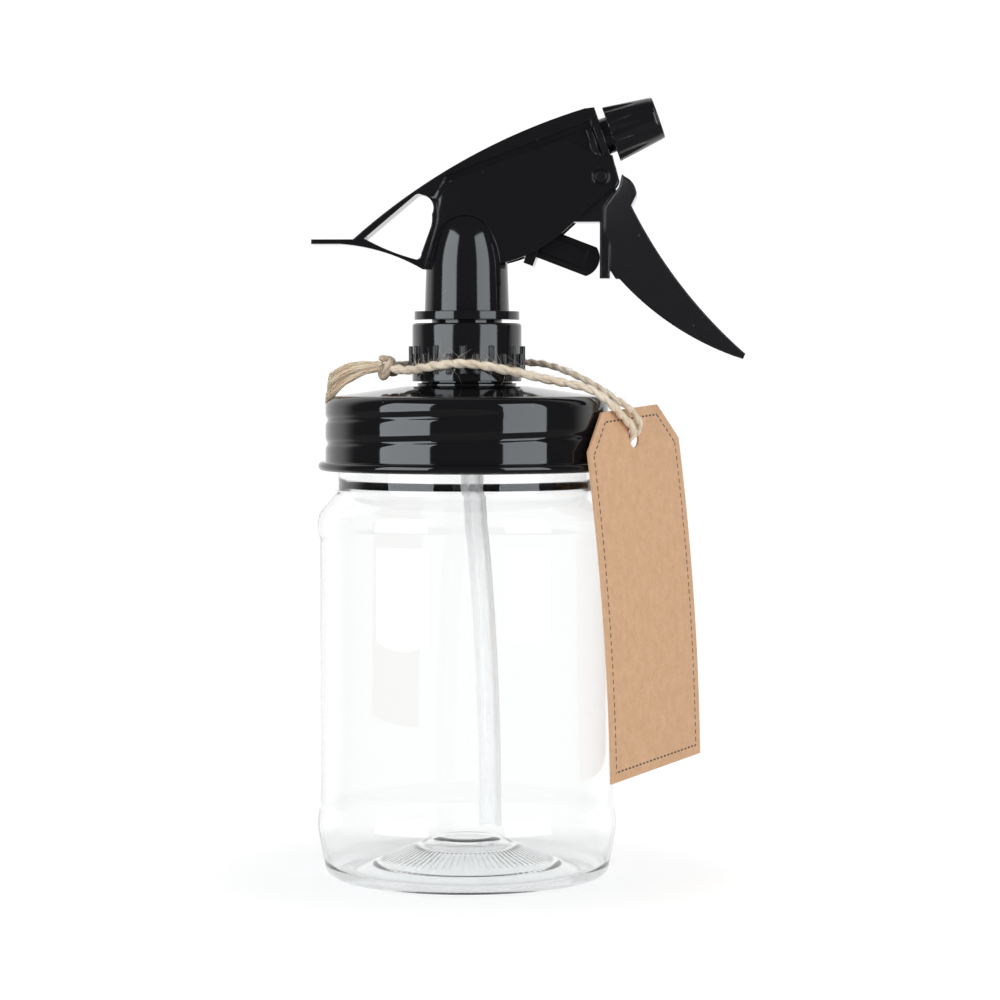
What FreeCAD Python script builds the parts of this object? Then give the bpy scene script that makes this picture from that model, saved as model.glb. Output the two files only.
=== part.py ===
"""Hand mister: a trigger sprayer screwed on a mason-style jar, with a tag on a twine.

Millimetres and degrees. +Z is up, +X points the way the nozzle sprays, and the origin is the
centre of the ring that the jar stands on. Three axes carry the sprayer: the upright axis of the
jar, the spray axis, which climbs towards the nozzle, and the pump axis, which falls towards the
trigger. Places along the two slanted axes are stations, measured from the upright axis outwards.
Heights are chained from the jar's base up to the spray axis, and the head's outlines are given as
rises and drops from the spray axis or from the trigger's pivot.
"""
import FreeCAD, Part
import math
import os
import re
import sys

import Sketcher

Vector = FreeCAD.Vector
LEFT, RIGHT = 1, -1

SIZES = [
    # the jar
    ("panel_radius", 38.6, "radius of the jar's straight label panel"),
    ("foot_inset", 4.3, "how much narrower the standing ring is than the panel"),
    ("foot_width", 4.0, "width of the standing ring"),
    ("heel_inset", 0.9, "how much narrower the jar is above its rounded heel"),
    ("heel_height", 3.9, "height of the heel"),
    ("low_bulge_rise", 0.45, "how far the lower bulge stands out of the panel"),
    ("low_bulge_bottom", 11.0, "height where the lower bulge starts"),
    ("low_bulge_height", 8.0, "height of the lower bulge"),
    ("low_bulge_round", 16.0, "radius of the lower bulge's curve"),
    ("panel_height", 70.0, "height of the label panel"),
    ("high_bulge_height", 6.8, "height of the upper bulge"),
    ("high_bulge_rise", 0.1, "how much wider the shoulder's foot is than the panel"),
    ("high_bulge_round", 8.6, "radius of the upper bulge's curve"),
    ("shoulder_height", 7.2, "height of the sloping shoulder"),
    ("neck_inset", 4.8, "how much narrower the jar's neck is than the panel"),
    ("neck_height", 21.3, "height of the jar's neck"),
    ("neck_wall", 1.6, "wall of the neck"),
    ("jar_wall", 1.0, "wall of the jar's body"),
    ("jar_floor", 1.6, "thickness of the jar's base"),
    ("pushup_radius", 8.0, "radius of the flat top of the push-up in the base"),
    ("pushup_height", 8.6, "height of the push-up"),
    # the lid and its liner
    ("lid_wall", 1.0, "wall of the lid"),
    ("thread_room", 2.4, "room for the thread between the jar's neck and the lid"),
    ("skirt_height", 19.6, "height of the lid's skirt with its bead"),
    ("bead_stand", 1.9, "how far the rolled bead stands out of the skirt"),
    ("bead_height", 2.4, "height of the bead"),
    ("lid_round", 3.0, "radius of the lid's top corner"),
    ("platform_radius", 22.0, "radius of the raised middle of the lid"),
    ("platform_rise", 2.5, "height of the raised middle"),
    ("spout_radius", 12.0, "outer radius of the spout that the sprayer screws on"),
    ("spout_wall", 2.4, "wall of the spout"),
    ("spout_height", 12.0, "height of the spout above the platform"),
    ("spout_foot_width", 1.0, "width of the step at the foot of the spout"),
    ("spout_foot_rise", 0.8, "height of that step"),
    ("liner_thickness", 1.2, "thickness of the lid's foam liner"),
    ("liner_width", 6.6, "width of the liner's ring"),
    # the screw collar and its gasket
    ("collar_gap", 1.3, "open gap between the lid and the collar's lower edge"),
    ("collar_thread_room", 0.4, "room for the thread between the spout and the collar"),
    ("collar_wall", 1.95, "wall of the screw collar"),
    ("collar_lip", 1.6, "thickness of the lip that holds the sprayer down"),
    ("collar_round", 0.7, "radius of the collar's top corner"),
    ("rib_rise", 1.05, "how far a grip rib stands out of the collar"),
    ("rib_root", 0.3, "how far a grip rib reaches into the collar's wall"),
    ("rib_width", 1.3, "width of a grip rib"),
    ("rib_count", 12, "number of tall ribs, and of short ribs"),
    ("rib_bottom", 1.9, "height of the ribs' lower ends above the collar's edge"),
    ("tall_rib_height", 7.3, "height of a tall rib"),
    ("short_rib_height", 5.2, "height of a short rib"),
    ("gasket_thickness", 1.2, "thickness of the gasket on the spout"),
    ("turning_gap", 0.3, "clearance between pieces that turn or slide in each other"),
    # the pump body
    ("base_disc_thickness", 1.4, "thickness of the disc that the collar's lip holds"),
    ("flange_radius", 13.8, "radius of the flange above the collar"),
    ("flange_thickness", 2.2, "thickness of the flange"),
    ("flange_gap", 0.9, "open slit between the collar and the flange"),
    ("domed_neck_radius", 11.1, "radius of the neck at the flange"),
    ("domed_neck_draft", 0.35, "how much narrower the neck is where its dome starts"),
    ("domed_neck_height", 10.4, "height of the neck from the flange to its dome"),
    ("dome_side_height", 11.5, "height of the dome's lower curve"),
    ("dome_waist_radius", 8.2, "radius of the dome where its curve tightens"),
    ("dome_side_round", 27.2, "radius of the dome's lower curve"),
    ("dome_top_round", 9.05, "radius of the dome's upper curve"),
    ("dome_top_height", 5.2, "height of the dome's upper curve"),
    ("neck_skin", 1.5, "wall of the hollow neck"),
    ("neck_core_height", 21.8, "height of the ring-shaped hollow in the neck"),
    ("stem_bore", 4.6, "radius of the bore that takes the tube retainer"),
    ("stem_wall", 1.15, "wall round that bore"),
    ("stem_bore_depth", 14.0, "depth of that bore"),
    ("spray_tilt", 19.4, "climb of the spray axis"),
    ("spray_axis_rise", 5.8, "height of the spray axis over the dome's top, at the jar's axis"),
    ("discharge_radius", 3.7, "outer radius of the discharge tube"),
    ("discharge_tail", 4.6, "length of the discharge tube behind the jar's axis"),
    ("discharge_bore", 1.9, "radius of the discharge tube's bore"),
    ("riser_radius", 3.4, "outer radius of the riser between pump and discharge tube"),
    ("riser_bore", 1.1, "radius of the riser's bore"),
    ("pump_tilt", 21.0, "fall of the pump axis"),
    ("pump_drop", 7.4, "height of the pump axis below the spray axis, at the jar's axis"),
    ("pump_bore", 4.4, "radius of the pump's bore"),
    ("pump_wall", 0.75, "wall of the pump's cylinder"),
    ("pump_bore_start", 2.0, "station of the bore's closed end"),
    ("pump_mouth", 21.3, "station of the pump's mouth"),
    ("mouth_flange_height", 13.2, "height of the flange round the pump's mouth"),
    ("mouth_flange_thickness", 2.6, "thickness of that flange"),
    # valves and dip tube
    ("ball_room", 0.6, "room round the inlet ball in its cage"),
    ("inlet_ball_radius", 2.4, "radius of the inlet ball"),
    ("inlet_ball_lift", 1.0, "lift of the inlet ball"),
    ("seat_bore", 1.8, "radius of the hole that the inlet ball closes"),
    ("ball_clearance", 0.05, "clearance between a ball and its seat"),
    ("dip_tube_radius", 2.95, "outer radius of the dip tube"),
    ("dip_tube_wall", 0.8, "wall of the dip tube"),
    ("dip_tube_grip", 10.0, "length of dip tube inside the retainer"),
    ("dip_tube_lead", 4.0, "straight length of dip tube under the retainer"),
    ("dip_bow_round", 400.0, "radius of the dip tube's upper bend"),
    ("dip_bow_angle", 5.74, "turn of the upper bend"),
    ("dip_back_round", 815.0, "radius of the long bend back"),
    ("dip_back_angle", 5.95, "turn of the long bend"),
    ("outlet_seat", 8.0, "station of the outlet ball's seat"),
    ("outlet_port", 1.0, "radius of the hole that the outlet ball closes"),
    ("outlet_ball_radius", 1.5, "radius of the outlet ball"),
    ("outlet_spring_length", 6.5, "length of the outlet spring"),
    ("outlet_spring_radius", 1.3, "mean radius of the outlet spring"),
    ("outlet_spring_wire", 0.35, "diameter of the outlet spring's wire"),
    ("outlet_spring_turns", 6, "turns of the outlet spring"),
    # nose, swirl insert and nozzle
    ("shell_front", 38.2, "station of the head shell's front face"),
    ("nose_neck_radius", 4.8, "radius of the nose where it leaves the shell"),
    ("nose_neck_length", 4.2, "length of that part in front of the shell"),
    ("nose_radius", 3.3, "radius of the nose inside the nozzle cap"),
    ("nose_length", 7.0, "length of the nose inside the nozzle cap"),
    ("swirl_gap", 0.15, "clearance round the swirl insert"),
    ("swirl_rib", 1.1, "thickness of the swirl insert's crossed ribs"),
    ("nozzle_gap", 1.9, "open gap between the shell and the nozzle cap"),
    ("nozzle_length", 13.1, "length of the nozzle cap"),
    ("nozzle_back_radius", 7.45, "radius of the nozzle cap's rear edge"),
    ("nozzle_front_radius", 5.55, "radius of the nozzle cap's front face"),
    ("nozzle_front_wall", 3.0, "thickness of the nozzle cap's front"),
    ("nozzle_round", 0.6, "radius of the nozzle cap's front edge"),
    ("nozzle_bore_room", 0.8, "room between the nose and the nozzle cap's bore"),
    ("nozzle_mouth_depth", 3.0, "depth of the wider mouth round the nose's neck"),
    ("orifice_radius", 0.6, "radius of the spray hole"),
    ("orifice_cone", 1.8, "radius of the dished front of the spray hole"),
    ("orifice_dish", 1.2, "depth of that dish"),
    ("seal_width", 1.4, "width of the nozzle seal"),
    ("seal_gap", 0.1, "clearance of the nozzle seal on the nose"),
    # head shell
    ("panel_half", 6.1, "half the width over the shell's side panels"),
    ("panel_wall", 0.85, "wall of the side panels"),
    ("roof_wall", 1.7, "height of the side panels' roof"),
    ("beam_half", 5.3, "half the width of the shell's beam and tail"),
    ("beam_slot_half", 4.0, "half the width of the slot for the discharge tube"),
    ("beam_front_rise", 7.3, "height of the beam's front corner over the spray axis"),
    ("beam_front_setback", 2.5, "how far that corner lies behind the front face"),
    ("beam_chamfer", 2.5, "length of the beam's sloping top behind that corner"),
    ("crest_front_rise", 19.7, "height of the long top curve's front end over the spray axis's root"),
    ("crest_round", 162.0, "radius of the shell's long top curve"),
    ("tail_length", 40.5, "reach of the tail behind the jar's axis"),
    ("tail_drop", 15.3, "height of the tail's underside below the spray axis"),
    ("tail_plate", 1.2, "thickness of the tail's plate"),
    ("tail_flat_end", 33.0, "where the tail's flat underside starts to sweep down"),
    ("tail_crest_end", 29.5, "where the long top curve meets the tail's plate"),
    ("tail_root", 11.2, "where the tail's underside meets the panels"),
    ("tail_root_drop", 22.0, "height of that corner below the spray axis"),
    ("tail_sweep_round", 50.0, "radius of the tail's lower sweep"),
    ("rear_wall_front", 6.2, "front of the wall between the tail and the hollow"),
    ("rear_wall", 0.8, "inset of the hollow from there"),
    ("hull_low_reach", 7.8, "where the side panels' lower edge starts to curve up"),
    ("hull_low_drop", 20.7, "height of that point below the spray axis"),
    ("hull_round", 34.0, "radius of the side panels' lower front curve"),
    ("hull_front_reach", 26.1, "where that curve ends, and where the panels' top edge bends"),
    ("hull_front_drop", 11.8, "height of the curve's end below the spray axis's root"),
    ("hull_top_rise", 11.9, "height of the top edge's bend over the spray axis's root"),
    ("nape_reach", 5.4, "where the panels' top edge ends behind the jar's axis"),
    ("nape_rise", 1.5, "height of that point over the spray axis"),
    ("nape_back", 8.2, "reach of the panels' upper rear corner"),
    ("nape_drop", 3.0, "height of that corner below the spray axis"),
    ("waist_back", 7.6, "reach of the panels' rear edge beside the window"),
    ("waist_drop", 10.5, "height of that point below the spray axis"),
    ("waist_round", 12.0, "radius of the panels' rear edge"),
    ("window_tip", 26.6, "reach of the tail window's sharp end"),
    ("window_tip_drop", 13.9, "height of that end below the spray axis"),
    ("window_sweep_round", 60.0, "radius of the window's lower edge"),
    ("window_root", 12.9, "where the window's lower edge ends"),
    ("window_low_drop", 19.4, "height of that point below the spray axis"),
    ("window_corner", 1.4, "size and radius of the window's lower front corner"),
    ("window_front", 8.8, "reach of the window's front side"),
    ("window_front_drop", 10.7, "height below the spray axis where that side starts to curve"),
    ("window_front_rise", 3.1, "height of that curve"),
    ("window_front_round", 9.0, "radius of that curve"),
    ("window_top", 13.4, "where the window's upper edge ends"),
    ("window_top_drop", 2.8, "height of the window's top below the spray axis"),
    ("window_top_width", 2.0, "width of the window's rounded top"),
    ("window_top_round", 3.4, "radius of the curve that leads to that top"),
    ("front_ring_radius", 6.6, "radius of the ring round the nose"),
    ("front_ring_length", 4.0, "length of that ring"),
    ("shell_gap", 0.1, "clearance between the shell and the pump body"),
    # trigger and plunger
    ("pivot_setback", 2.9, "distance of the trigger's pivot behind the shell's front face"),
    ("pivot_rise", 2.0, "height of the trigger's pivot over the spray axis's root"),
    ("trunnion_radius", 1.65, "radius of the trigger's trunnions"),
    ("trunnion_gap", 0.15, "clearance round a trunnion"),
    ("trunnion_depth", 0.5, "how far a trunnion reaches into a side panel"),
    ("ear_round", 3.6, "radius of the side panels' corner below the pivot"),
    ("hub_radius", 3.1, "radius of the trigger's hub round the pivot"),
    ("hub_gap", 0.25, "clearance between the trigger and the side panels"),
    ("push_setback", 0.3, "how far the push face lies behind the pivot at rest"),
    ("push_wall", 2.6, "thickness of the wall behind the push face"),
    ("foot_drop", 26.4, "height of the trigger's foot below the pivot"),
    ("arm_reach", 7.8, "reach of the trigger's rear arm behind the pivot"),
    ("arm_top_drop", 7.5, "height of the arm's top below the pivot"),
    ("arm_drop", 11.7, "height of the arm's underside below the pivot"),
    ("hub_half", 2.9, "half the width of the web that joins the hub and the arm"),
    ("finger_wall", 1.3, "wall of the trigger's finger"),
    ("finger_half", 7.1, "half the width of the finger's face at its top"),
    ("finger_tip_half", 4.4, "half the width of the finger's face at its tip"),
    ("finger_flare", 0.22, "how much wider the finger gets per millimetre forward"),
    ("finger_reach", 37.6, "reach of the finger's tip in front of the pivot"),
    ("finger_drop", 46.0, "height of the finger's tip below the pivot"),
    ("finger_tip_width", 1.5, "thickness of the finger at its tip"),
    ("finger_front_round", 125.0, "radius of the finger's hollow front"),
    ("finger_rear_round", 75.0, "radius of the finger's rear edge"),
    ("finger_back", 13.0, "room for the finger behind its front, across its flared sides"),
    ("finger_front", 6.0, "room in front of it"),
    ("throat_reach", 7.9, "reach of the finger's front below the lobe, in front of the pivot"),
    ("throat_drop", 7.5, "height of that point below the pivot"),
    ("root_reach", 4.7, "reach of the finger's rear edge at its root, in front of the pivot"),
    ("lobe_reach", 9.3, "reach of the lobe over the finger, in front of the pivot"),
    ("lobe_drop", 4.7, "height of the lobe's widest point below the pivot"),
    ("lobe_round", 5.2, "radius of the lobe"),
    ("push_gap", 0.1, "clearance between the push face and the plunger"),
    ("rod_gap", 0.35, "clearance of the plunger's rod over and under, in the bore"),
    ("rod_width", 3.6, "width of the plunger's box-shaped rod"),
    ("rod_round", 1.0, "radius of the rod's long edges"),
    ("rod_nose", 5.0, "radius of the crowned end that the trigger pushes"),
    ("rod_panel_height", 4.6, "height of the raised panel on the rod's sides"),
    ("rod_panel_rise", 0.5, "how far that panel stands out"),
    ("rod_panel_back", 5.0, "distance of that panel from the piston"),
    ("rod_panel_front", 1.5, "distance of that panel from the crowned end"),
    ("piston_front", 13.2, "station of the piston's front face at rest"),
    ("piston_length", 3.4, "length of the piston"),
    ("piston_gap", 0.25, "clearance of the piston in the bore"),
    ("piston_groove", 1.05, "depth of the groove that takes the piston seal"),
    ("piston_seal_width", 2.2, "width of the piston seal"),
    ("spring_wire", 0.8, "diameter of the return spring's wire"),
    ("spring_room", 0.7, "clearance round the return spring in the bore"),
    ("spring_turns", 4, "turns of the return spring"),
    # twine and tag
    ("twine_diameter", 2.2, "diameter of the jute twine"),
    ("knot_height", 6.5, "height of the knot"),
    ("knot_width", 4.8, "width of the knot"),
    ("fray_start", 1.15, "half the height of the frayed tail at the knot"),
    ("fray_end", 3.6, "half the height of the frayed tail at its end"),
    ("fray_half_width", 1.2, "half the width of the frayed tail"),
    ("tag_width", 50.8, "width of the card tag"),
    ("tag_length", 95.3, "length of the card tag"),
    ("tag_thickness", 0.6, "thickness of the card"),
    ("tag_corner_across", 9.9, "width of the tag's cut corners"),
    ("tag_corner_down", 9.65, "height of the tag's cut corners"),
    ("tag_hole_radius", 2.75, "radius of the tag's hole"),
    ("tag_hole_down", 7.6, "distance of the hole below the tag's top edge"),
    ("tag_bow_round", 700.0, "radius of the card's gentle bow"),
    ("tag_facing", -26.8, "direction that the tag faces, round the jar from +X"),
    ("tag_lean", -3.2, "lean of the tag, negative with its top inwards"),
    ("tag_roll", 3.37, "turn of the tag in its own plane"),
    ("tag_stand", 5.2, "distance of the tag's middle outside the lid's skirt, along its facing"),
    ("tag_sideways", 21.8, "distance of the tag's middle to the left of its facing"),
    ("tag_drop", 50.7, "distance of the tag's middle below the lid's top"),
]

# Radii, heights and stations that several pieces share, each a formula of the sizes above.

SHARED = [
    ("panel_bottom", "low_bulge_bottom + low_bulge_height", "height where the label panel starts"),
    ("panel_top", "panel_bottom + panel_height", "height where the label panel ends"),
    ("shoulder_bottom", "panel_top + high_bulge_height", "height where the shoulder starts"),
    ("shoulder_top", "shoulder_bottom + shoulder_height", "height where the neck starts"),
    ("jar_rim", "shoulder_top + neck_height", "height of the jar's rim"),
    ("neck_radius", "panel_radius - neck_inset", "outer radius of the jar's neck"),
    ("skirt_radius", "neck_radius + thread_room + lid_wall", "outer radius of the lid's skirt"),
    ("bead_radius", "skirt_radius + bead_stand", "outer radius of the lid's bead"),
    ("lid_top", "jar_rim + liner_thickness + lid_wall", "height of the lid's flat top"),
    ("bead_bottom", "lid_top - skirt_height", "height of the lid's lower edge"),
    ("platform_top", "lid_top + platform_rise", "height of the lid's raised middle"),
    ("spout_top", "platform_top + spout_height", "height of the spout"),
    ("spout_foot", "spout_radius + spout_foot_width", "radius of the step round the spout"),
    ("collar_inner", "spout_radius + collar_thread_room", "inner radius of the screw collar"),
    ("collar_radius", "collar_inner + collar_wall", "outer radius of the screw collar"),
    ("collar_bottom", "platform_top + collar_gap", "height of the collar's lower edge"),
    ("base_disc", "spout_top + gasket_thickness", "height of the sprayer's base"),
    ("lip_bottom", "base_disc + base_disc_thickness + turning_gap", "height of the collar's lip"),
    ("collar_top", "lip_bottom + collar_lip", "height of the collar's top"),
    ("flange_bottom", "collar_top + flange_gap", "height of the flange's underside"),
    ("flange_top", "flange_bottom + flange_thickness", "height of the flange's top"),
    ("stem_radius", "domed_neck_radius - domed_neck_draft - neck_skin", "radius of the neck in the lip"),
    ("dome_bottom", "flange_top + domed_neck_height", "height where the neck curves in"),
    ("dome_waist", "dome_bottom + dome_side_height", "height where the dome's curve tightens"),
    ("dome_top", "dome_waist + dome_top_height", "height of the dome's top"),
    ("retainer_top", "base_disc + stem_bore_depth", "height of the tube retainer's top"),
    ("axis_height", "dome_top + spray_axis_rise", "height of the spray axis over the jar's axis"),
    ("pump_height", "axis_height - pump_drop", "height of the pump axis over the jar's axis"),
    ("outlet_ball_at", "outlet_seat + sqrt(outlet_ball_radius ^ 2 - outlet_port ^ 2) + ball_clearance",
     "station of the outlet ball"),
    ("outlet_spring_at", "outlet_ball_at + ball_clearance + sqrt((outlet_ball_radius"
     " + outlet_spring_wire / 2) ^ 2 - outlet_spring_radius ^ 2)", "station of its spring"),
    ("swirl_back", "outlet_spring_at + outlet_spring_length - outlet_spring_wire / 2",
     "station of the swirl insert's rear end"),
    ("nose_neck_end", "shell_front + nose_neck_length", "station where the nose steps down"),
    ("nose_end", "nose_neck_end + nose_length", "station of the nose's end"),
    ("nozzle_back", "shell_front + nozzle_gap", "station of the nozzle cap's rear edge"),
    ("nozzle_bore", "nose_radius + nozzle_bore_room", "radius of the nozzle cap's bore"),
    ("pivot_x", "shell_front - pivot_setback", "trigger pivot, forward of the jar's axis"),
    ("pivot_z", "axis_height + pivot_rise", "height of the trigger pivot"),
    ("push_face", "pivot_x - push_setback", "where the trigger's push face stands at rest"),
    ("trigger_half", "panel_half - panel_wall - hub_gap", "half the width of the trigger's hub"),
    ("rod_half", "pump_bore - rod_gap", "half the height of the plunger's rod"),
    ("piston_back", "piston_front + piston_length", "station of the piston's rear face"),
    ("groove_back", "piston_front + (piston_length - piston_seal_width) / 2", "station of the groove"),
    ("groove_front", "groove_back + piston_seal_width", "station of the groove's other side"),
    ("piston_radius", "pump_bore - piston_gap", "radius of the piston"),
    ("groove_radius", "piston_radius - piston_groove", "radius of the piston's groove"),
    ("nose_centre", "(push_face - push_gap - rod_nose) / cos(pump_tilt)", "station of the crown's centre"),
    ("rod_crown", "nose_centre + sqrt(rod_nose ^ 2 - rod_half ^ 2)", "station where the crown starts"),
]

doc = FreeCAD.newDocument("hand_mister")
KNOWN = {}
SUBPARTS = []


# ---- formulas, bindings and placements ------------------------------------------------------------

SHEET_OF = {alias: "Sizes." for alias, number, meaning in SIZES}
SHEET_OF.update((alias, "Shared.") for alias, text, meaning in SHARED)


def formula(text):
    """The text with each alias turned into a reference to its cell."""
    return re.sub(r"[a-z][a-z_]+", lambda word: SHEET_OF.get(word[0], "") + word[0], text)


def fill_sheet(name, rows):
    """A spreadsheet with an alias, its content and its meaning on each row."""
    sheet = doc.addObject("Spreadsheet::Sheet", name)
    for row, (alias, content, meaning) in enumerate(rows, start=1):
        sheet.set("A%d" % row, alias)
        sheet.set("B%d" % row, content)
        sheet.setAlias("B%d" % row, alias)
        sheet.set("C%d" % row, meaning)


fill_sheet("Sizes", [(alias, str(number), meaning) for alias, number, meaning in SIZES])
fill_sheet("Shared", [(alias, "=" + formula(text), meaning) for alias, text, meaning in SHARED])
workings = doc.addObject("Spreadsheet::Sheet", "Workings")
doc.recompute()


def value(text):
    """The number that a formula gives now, worked out in a cell of the second sheet."""
    if text not in KNOWN:
        workings.set("A1", "=" + formula(text))
        workings.recompute()
        KNOWN[text] = float(workings.get("A1"))
    return KNOWN[text]


def bind(thing, prop, text):
    """Ties one property of an object to a formula."""
    thing.setExpression(prop, formula(text))


def put(thing, x="0", y="0", z="0", axis=None, turn="0"):
    """Ties an object's place to formulas, turned about one axis."""
    if axis:
        thing.Placement = FreeCAD.Placement(Vector(), FreeCAD.Rotation(axis, 1))
        bind(thing, "Placement.Rotation.Angle", turn)
    bind(thing, "Placement.Base.x", x)
    bind(thing, "Placement.Base.y", y)
    bind(thing, "Placement.Base.z", z)


def put_on_spray_axis(thing, station):
    """Local +Z runs along the spray axis, from the given station outwards."""
    put(thing, x="(%s) * cos(spray_tilt)" % station,
        z="axis_height + (%s) * sin(spray_tilt)" % station,
        axis=Vector(0, 1, 0), turn="90 - spray_tilt")


def put_on_pump_axis(thing, station):
    """Local +Z runs along the pump axis, from the given station outwards, and local +X down."""
    put(thing, x="(%s) * cos(pump_tilt)" % station,
        z="pump_height - (%s) * sin(pump_tilt)" % station,
        axis=Vector(0, 1, 0), turn="90 + pump_tilt")


def subpart(thing, node):
    """Names a finished piece and keeps it for the export."""
    thing.Label = node
    SUBPARTS.append(thing)
    return thing


# ---- sketches and features ------------------------------------------------------------------------

def new_body(name):
    return doc.addObject("PartDesign::Body", name)


def new_sketch(body, role):
    """An empty sketch on one of the body's own planes."""
    sketch = body.newObject("Sketcher::SketchObject", body.Name + "_sketch")
    plane = [item for item in body.Origin.OriginFeatures if item.Role == role][0]
    sketch.AttachmentSupport = [(plane, "")]
    sketch.MapMode = "FlatFace"
    return sketch


def arc_between(start, end, radius, turn):
    """The short arc from start to end that turns left or right on its way."""
    chord = end - start
    middle = (start + end) / 2
    left = Vector(-chord.y, chord.x, 0).normalize()
    reach = math.sqrt(radius ** 2 - (chord.Length / 2) ** 2)
    centre = middle + left * reach * turn
    first, last = (start, end) if turn == LEFT else (end, start)
    from_angle = math.atan2(first.y - centre.y, first.x - centre.x)
    to_angle = math.atan2(last.y - centre.y, last.x - centre.x)
    return Part.ArcOfCircle(Part.Circle(centre, Vector(0, 0, 1), radius), from_angle, to_angle)


def draw_outline(sketch, points):
    """A closed outline: (x, y) ends a line there, (x, y, radius, turn) ends an arc there."""
    places = [Vector(value(point[0]), value(point[1]), 0) for point in points]
    starts, ends = [], []
    for index, point in enumerate(points):
        start, end = places[index - 1], places[index]
        if len(point) == 2:
            sketch.addGeometry(Part.LineSegment(start, end))
            turn = LEFT
        else:
            turn = point[3]
            sketch.addGeometry(arc_between(start, end, value(point[2]), turn))
            count = sketch.addConstraint(Sketcher.Constraint("Radius", index, value(point[2])))
            bind(sketch, "Constraints[%d]" % count, point[2])
        starts.append(1 if turn == LEFT else 2)
        ends.append(2 if turn == LEFT else 1)
    for index, point in enumerate(points):
        after = (index + 1) % len(points)
        sketch.addConstraint(Sketcher.Constraint("Coincident", index, ends[index], after, starts[after]))
        for kind, number, text in (("DistanceX", places[index].x, point[0]),
                                   ("DistanceY", places[index].y, point[1])):
            count = sketch.addConstraint(Sketcher.Constraint(kind, -1, 1, index, ends[index], number))
            bind(sketch, "Constraints[%d]" % count, text)


def turned(name, points):
    """A body turned about its Z axis from a section in its XZ plane."""
    body = new_body(name)
    sketch = new_sketch(body, "XZ_Plane")
    draw_outline(sketch, points)
    turning = body.newObject("PartDesign::Revolution", name + "_turning")
    turning.Profile = sketch
    turning.ReferenceAxis = (sketch, ["V_Axis"])
    doc.recompute()
    return body


def plate(name, points, width):
    """A body padded both ways from an outline in its XZ plane."""
    body = new_body(name)
    sketch = new_sketch(body, "XZ_Plane")
    draw_outline(sketch, points)
    pad = body.newObject("PartDesign::Pad", name + "_pad")
    pad.Profile = sketch
    pad.Midplane = True
    bind(pad, "Length", width)
    doc.recompute()
    return body


def round_edges(body, radius, points):
    """Rounds the edges of the body's last feature that pass through the given points."""
    base = body.Tip
    names = []
    for point in points:
        probe = Part.Vertex(Vector(*[value(text) for text in point]))
        for number, edge in enumerate(base.Shape.Edges, start=1):
            if edge.distToShape(probe)[0] < 1e-4:
                names.append("Edge%d" % number)
    fillet = body.newObject("PartDesign::Fillet", body.Name + "_round")
    fillet.Base = (base, sorted(set(names)))
    bind(fillet, "Radius", radius)
    doc.recompute()


def cylinder(name, radius, height):
    """A plain cylinder bound to the sheet."""
    solid = doc.addObject("Part::Cylinder", name)
    bind(solid, "Radius", radius)
    bind(solid, "Height", height)
    return solid


def cross_pin(name, radius, half_length, x, z):
    """A cylinder along Y, centred on the XZ plane."""
    solid = cylinder(name, radius, "2 * (%s)" % half_length)
    put(solid, x=x, y=half_length, z=z, axis=Vector(1, 0, 0), turn="90")
    return solid


def fused(name, pieces):
    union = doc.addObject("Part::MultiFuse", name)
    union.Shapes = pieces
    union.Refine = True
    return union


def cut(name, base, tool):
    result = doc.addObject("Part::Cut", name)
    result.Base = base
    result.Tool = tool
    result.Refine = True
    return result


def common(name, base, tool):
    result = doc.addObject("Part::Common", name)
    result.Base = base
    result.Tool = tool
    return result


def ring(name, node, inner, outer, bottom, thickness):
    """A flat ring round the upright axis."""
    top = "%s + %s" % (bottom, thickness)
    body = turned(name, [(inner, bottom), (outer, bottom), (outer, top), (inner, top)])
    return subpart(body, node)


# ---- jar and lid ----------------------------------------------------------------------------------

def make_jar():
    """Clear jar: rounded heel, two soft bulges, straight panel, sloping shoulder, pushed-up base."""
    heel = "panel_radius - heel_inset"
    foot = "panel_radius - foot_inset"
    low_bulge = "panel_radius + low_bulge_rise"
    shoulder = "panel_radius + high_bulge_rise"
    inner = "neck_radius - neck_wall"
    body = turned("jar", [
        ("0", "pushup_height"),
        ("pushup_radius", "pushup_height"),
        (foot + " - foot_width", "0"),
        (foot, "0"),
        (heel, "heel_height", "heel_height", LEFT),
        (low_bulge, "low_bulge_bottom"),
        ("panel_radius", "panel_bottom", "low_bulge_round", LEFT),
        ("panel_radius", "panel_top"),
        (shoulder, "shoulder_bottom", "high_bulge_round", LEFT),
        ("neck_radius", "shoulder_top"),
        ("neck_radius", "jar_rim"),
        (inner, "jar_rim"),
        (inner, "shoulder_top - jar_wall"),
        (shoulder + " - jar_wall", "shoulder_bottom - jar_wall / 2"),
        ("panel_radius - jar_wall", "panel_top", "high_bulge_round - jar_wall", RIGHT),
        ("panel_radius - jar_wall", "panel_bottom"),
        (low_bulge + " - jar_wall", "low_bulge_bottom", "low_bulge_round - jar_wall", RIGHT),
        (heel + " - jar_wall", "heel_height"),
        (foot, "jar_floor", "heel_height", RIGHT),
        (foot + " - foot_width", "jar_floor"),
        ("pushup_radius", "pushup_height + jar_floor"),
        ("0", "pushup_height + jar_floor"),
    ])
    return subpart(body, "jar")


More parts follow.
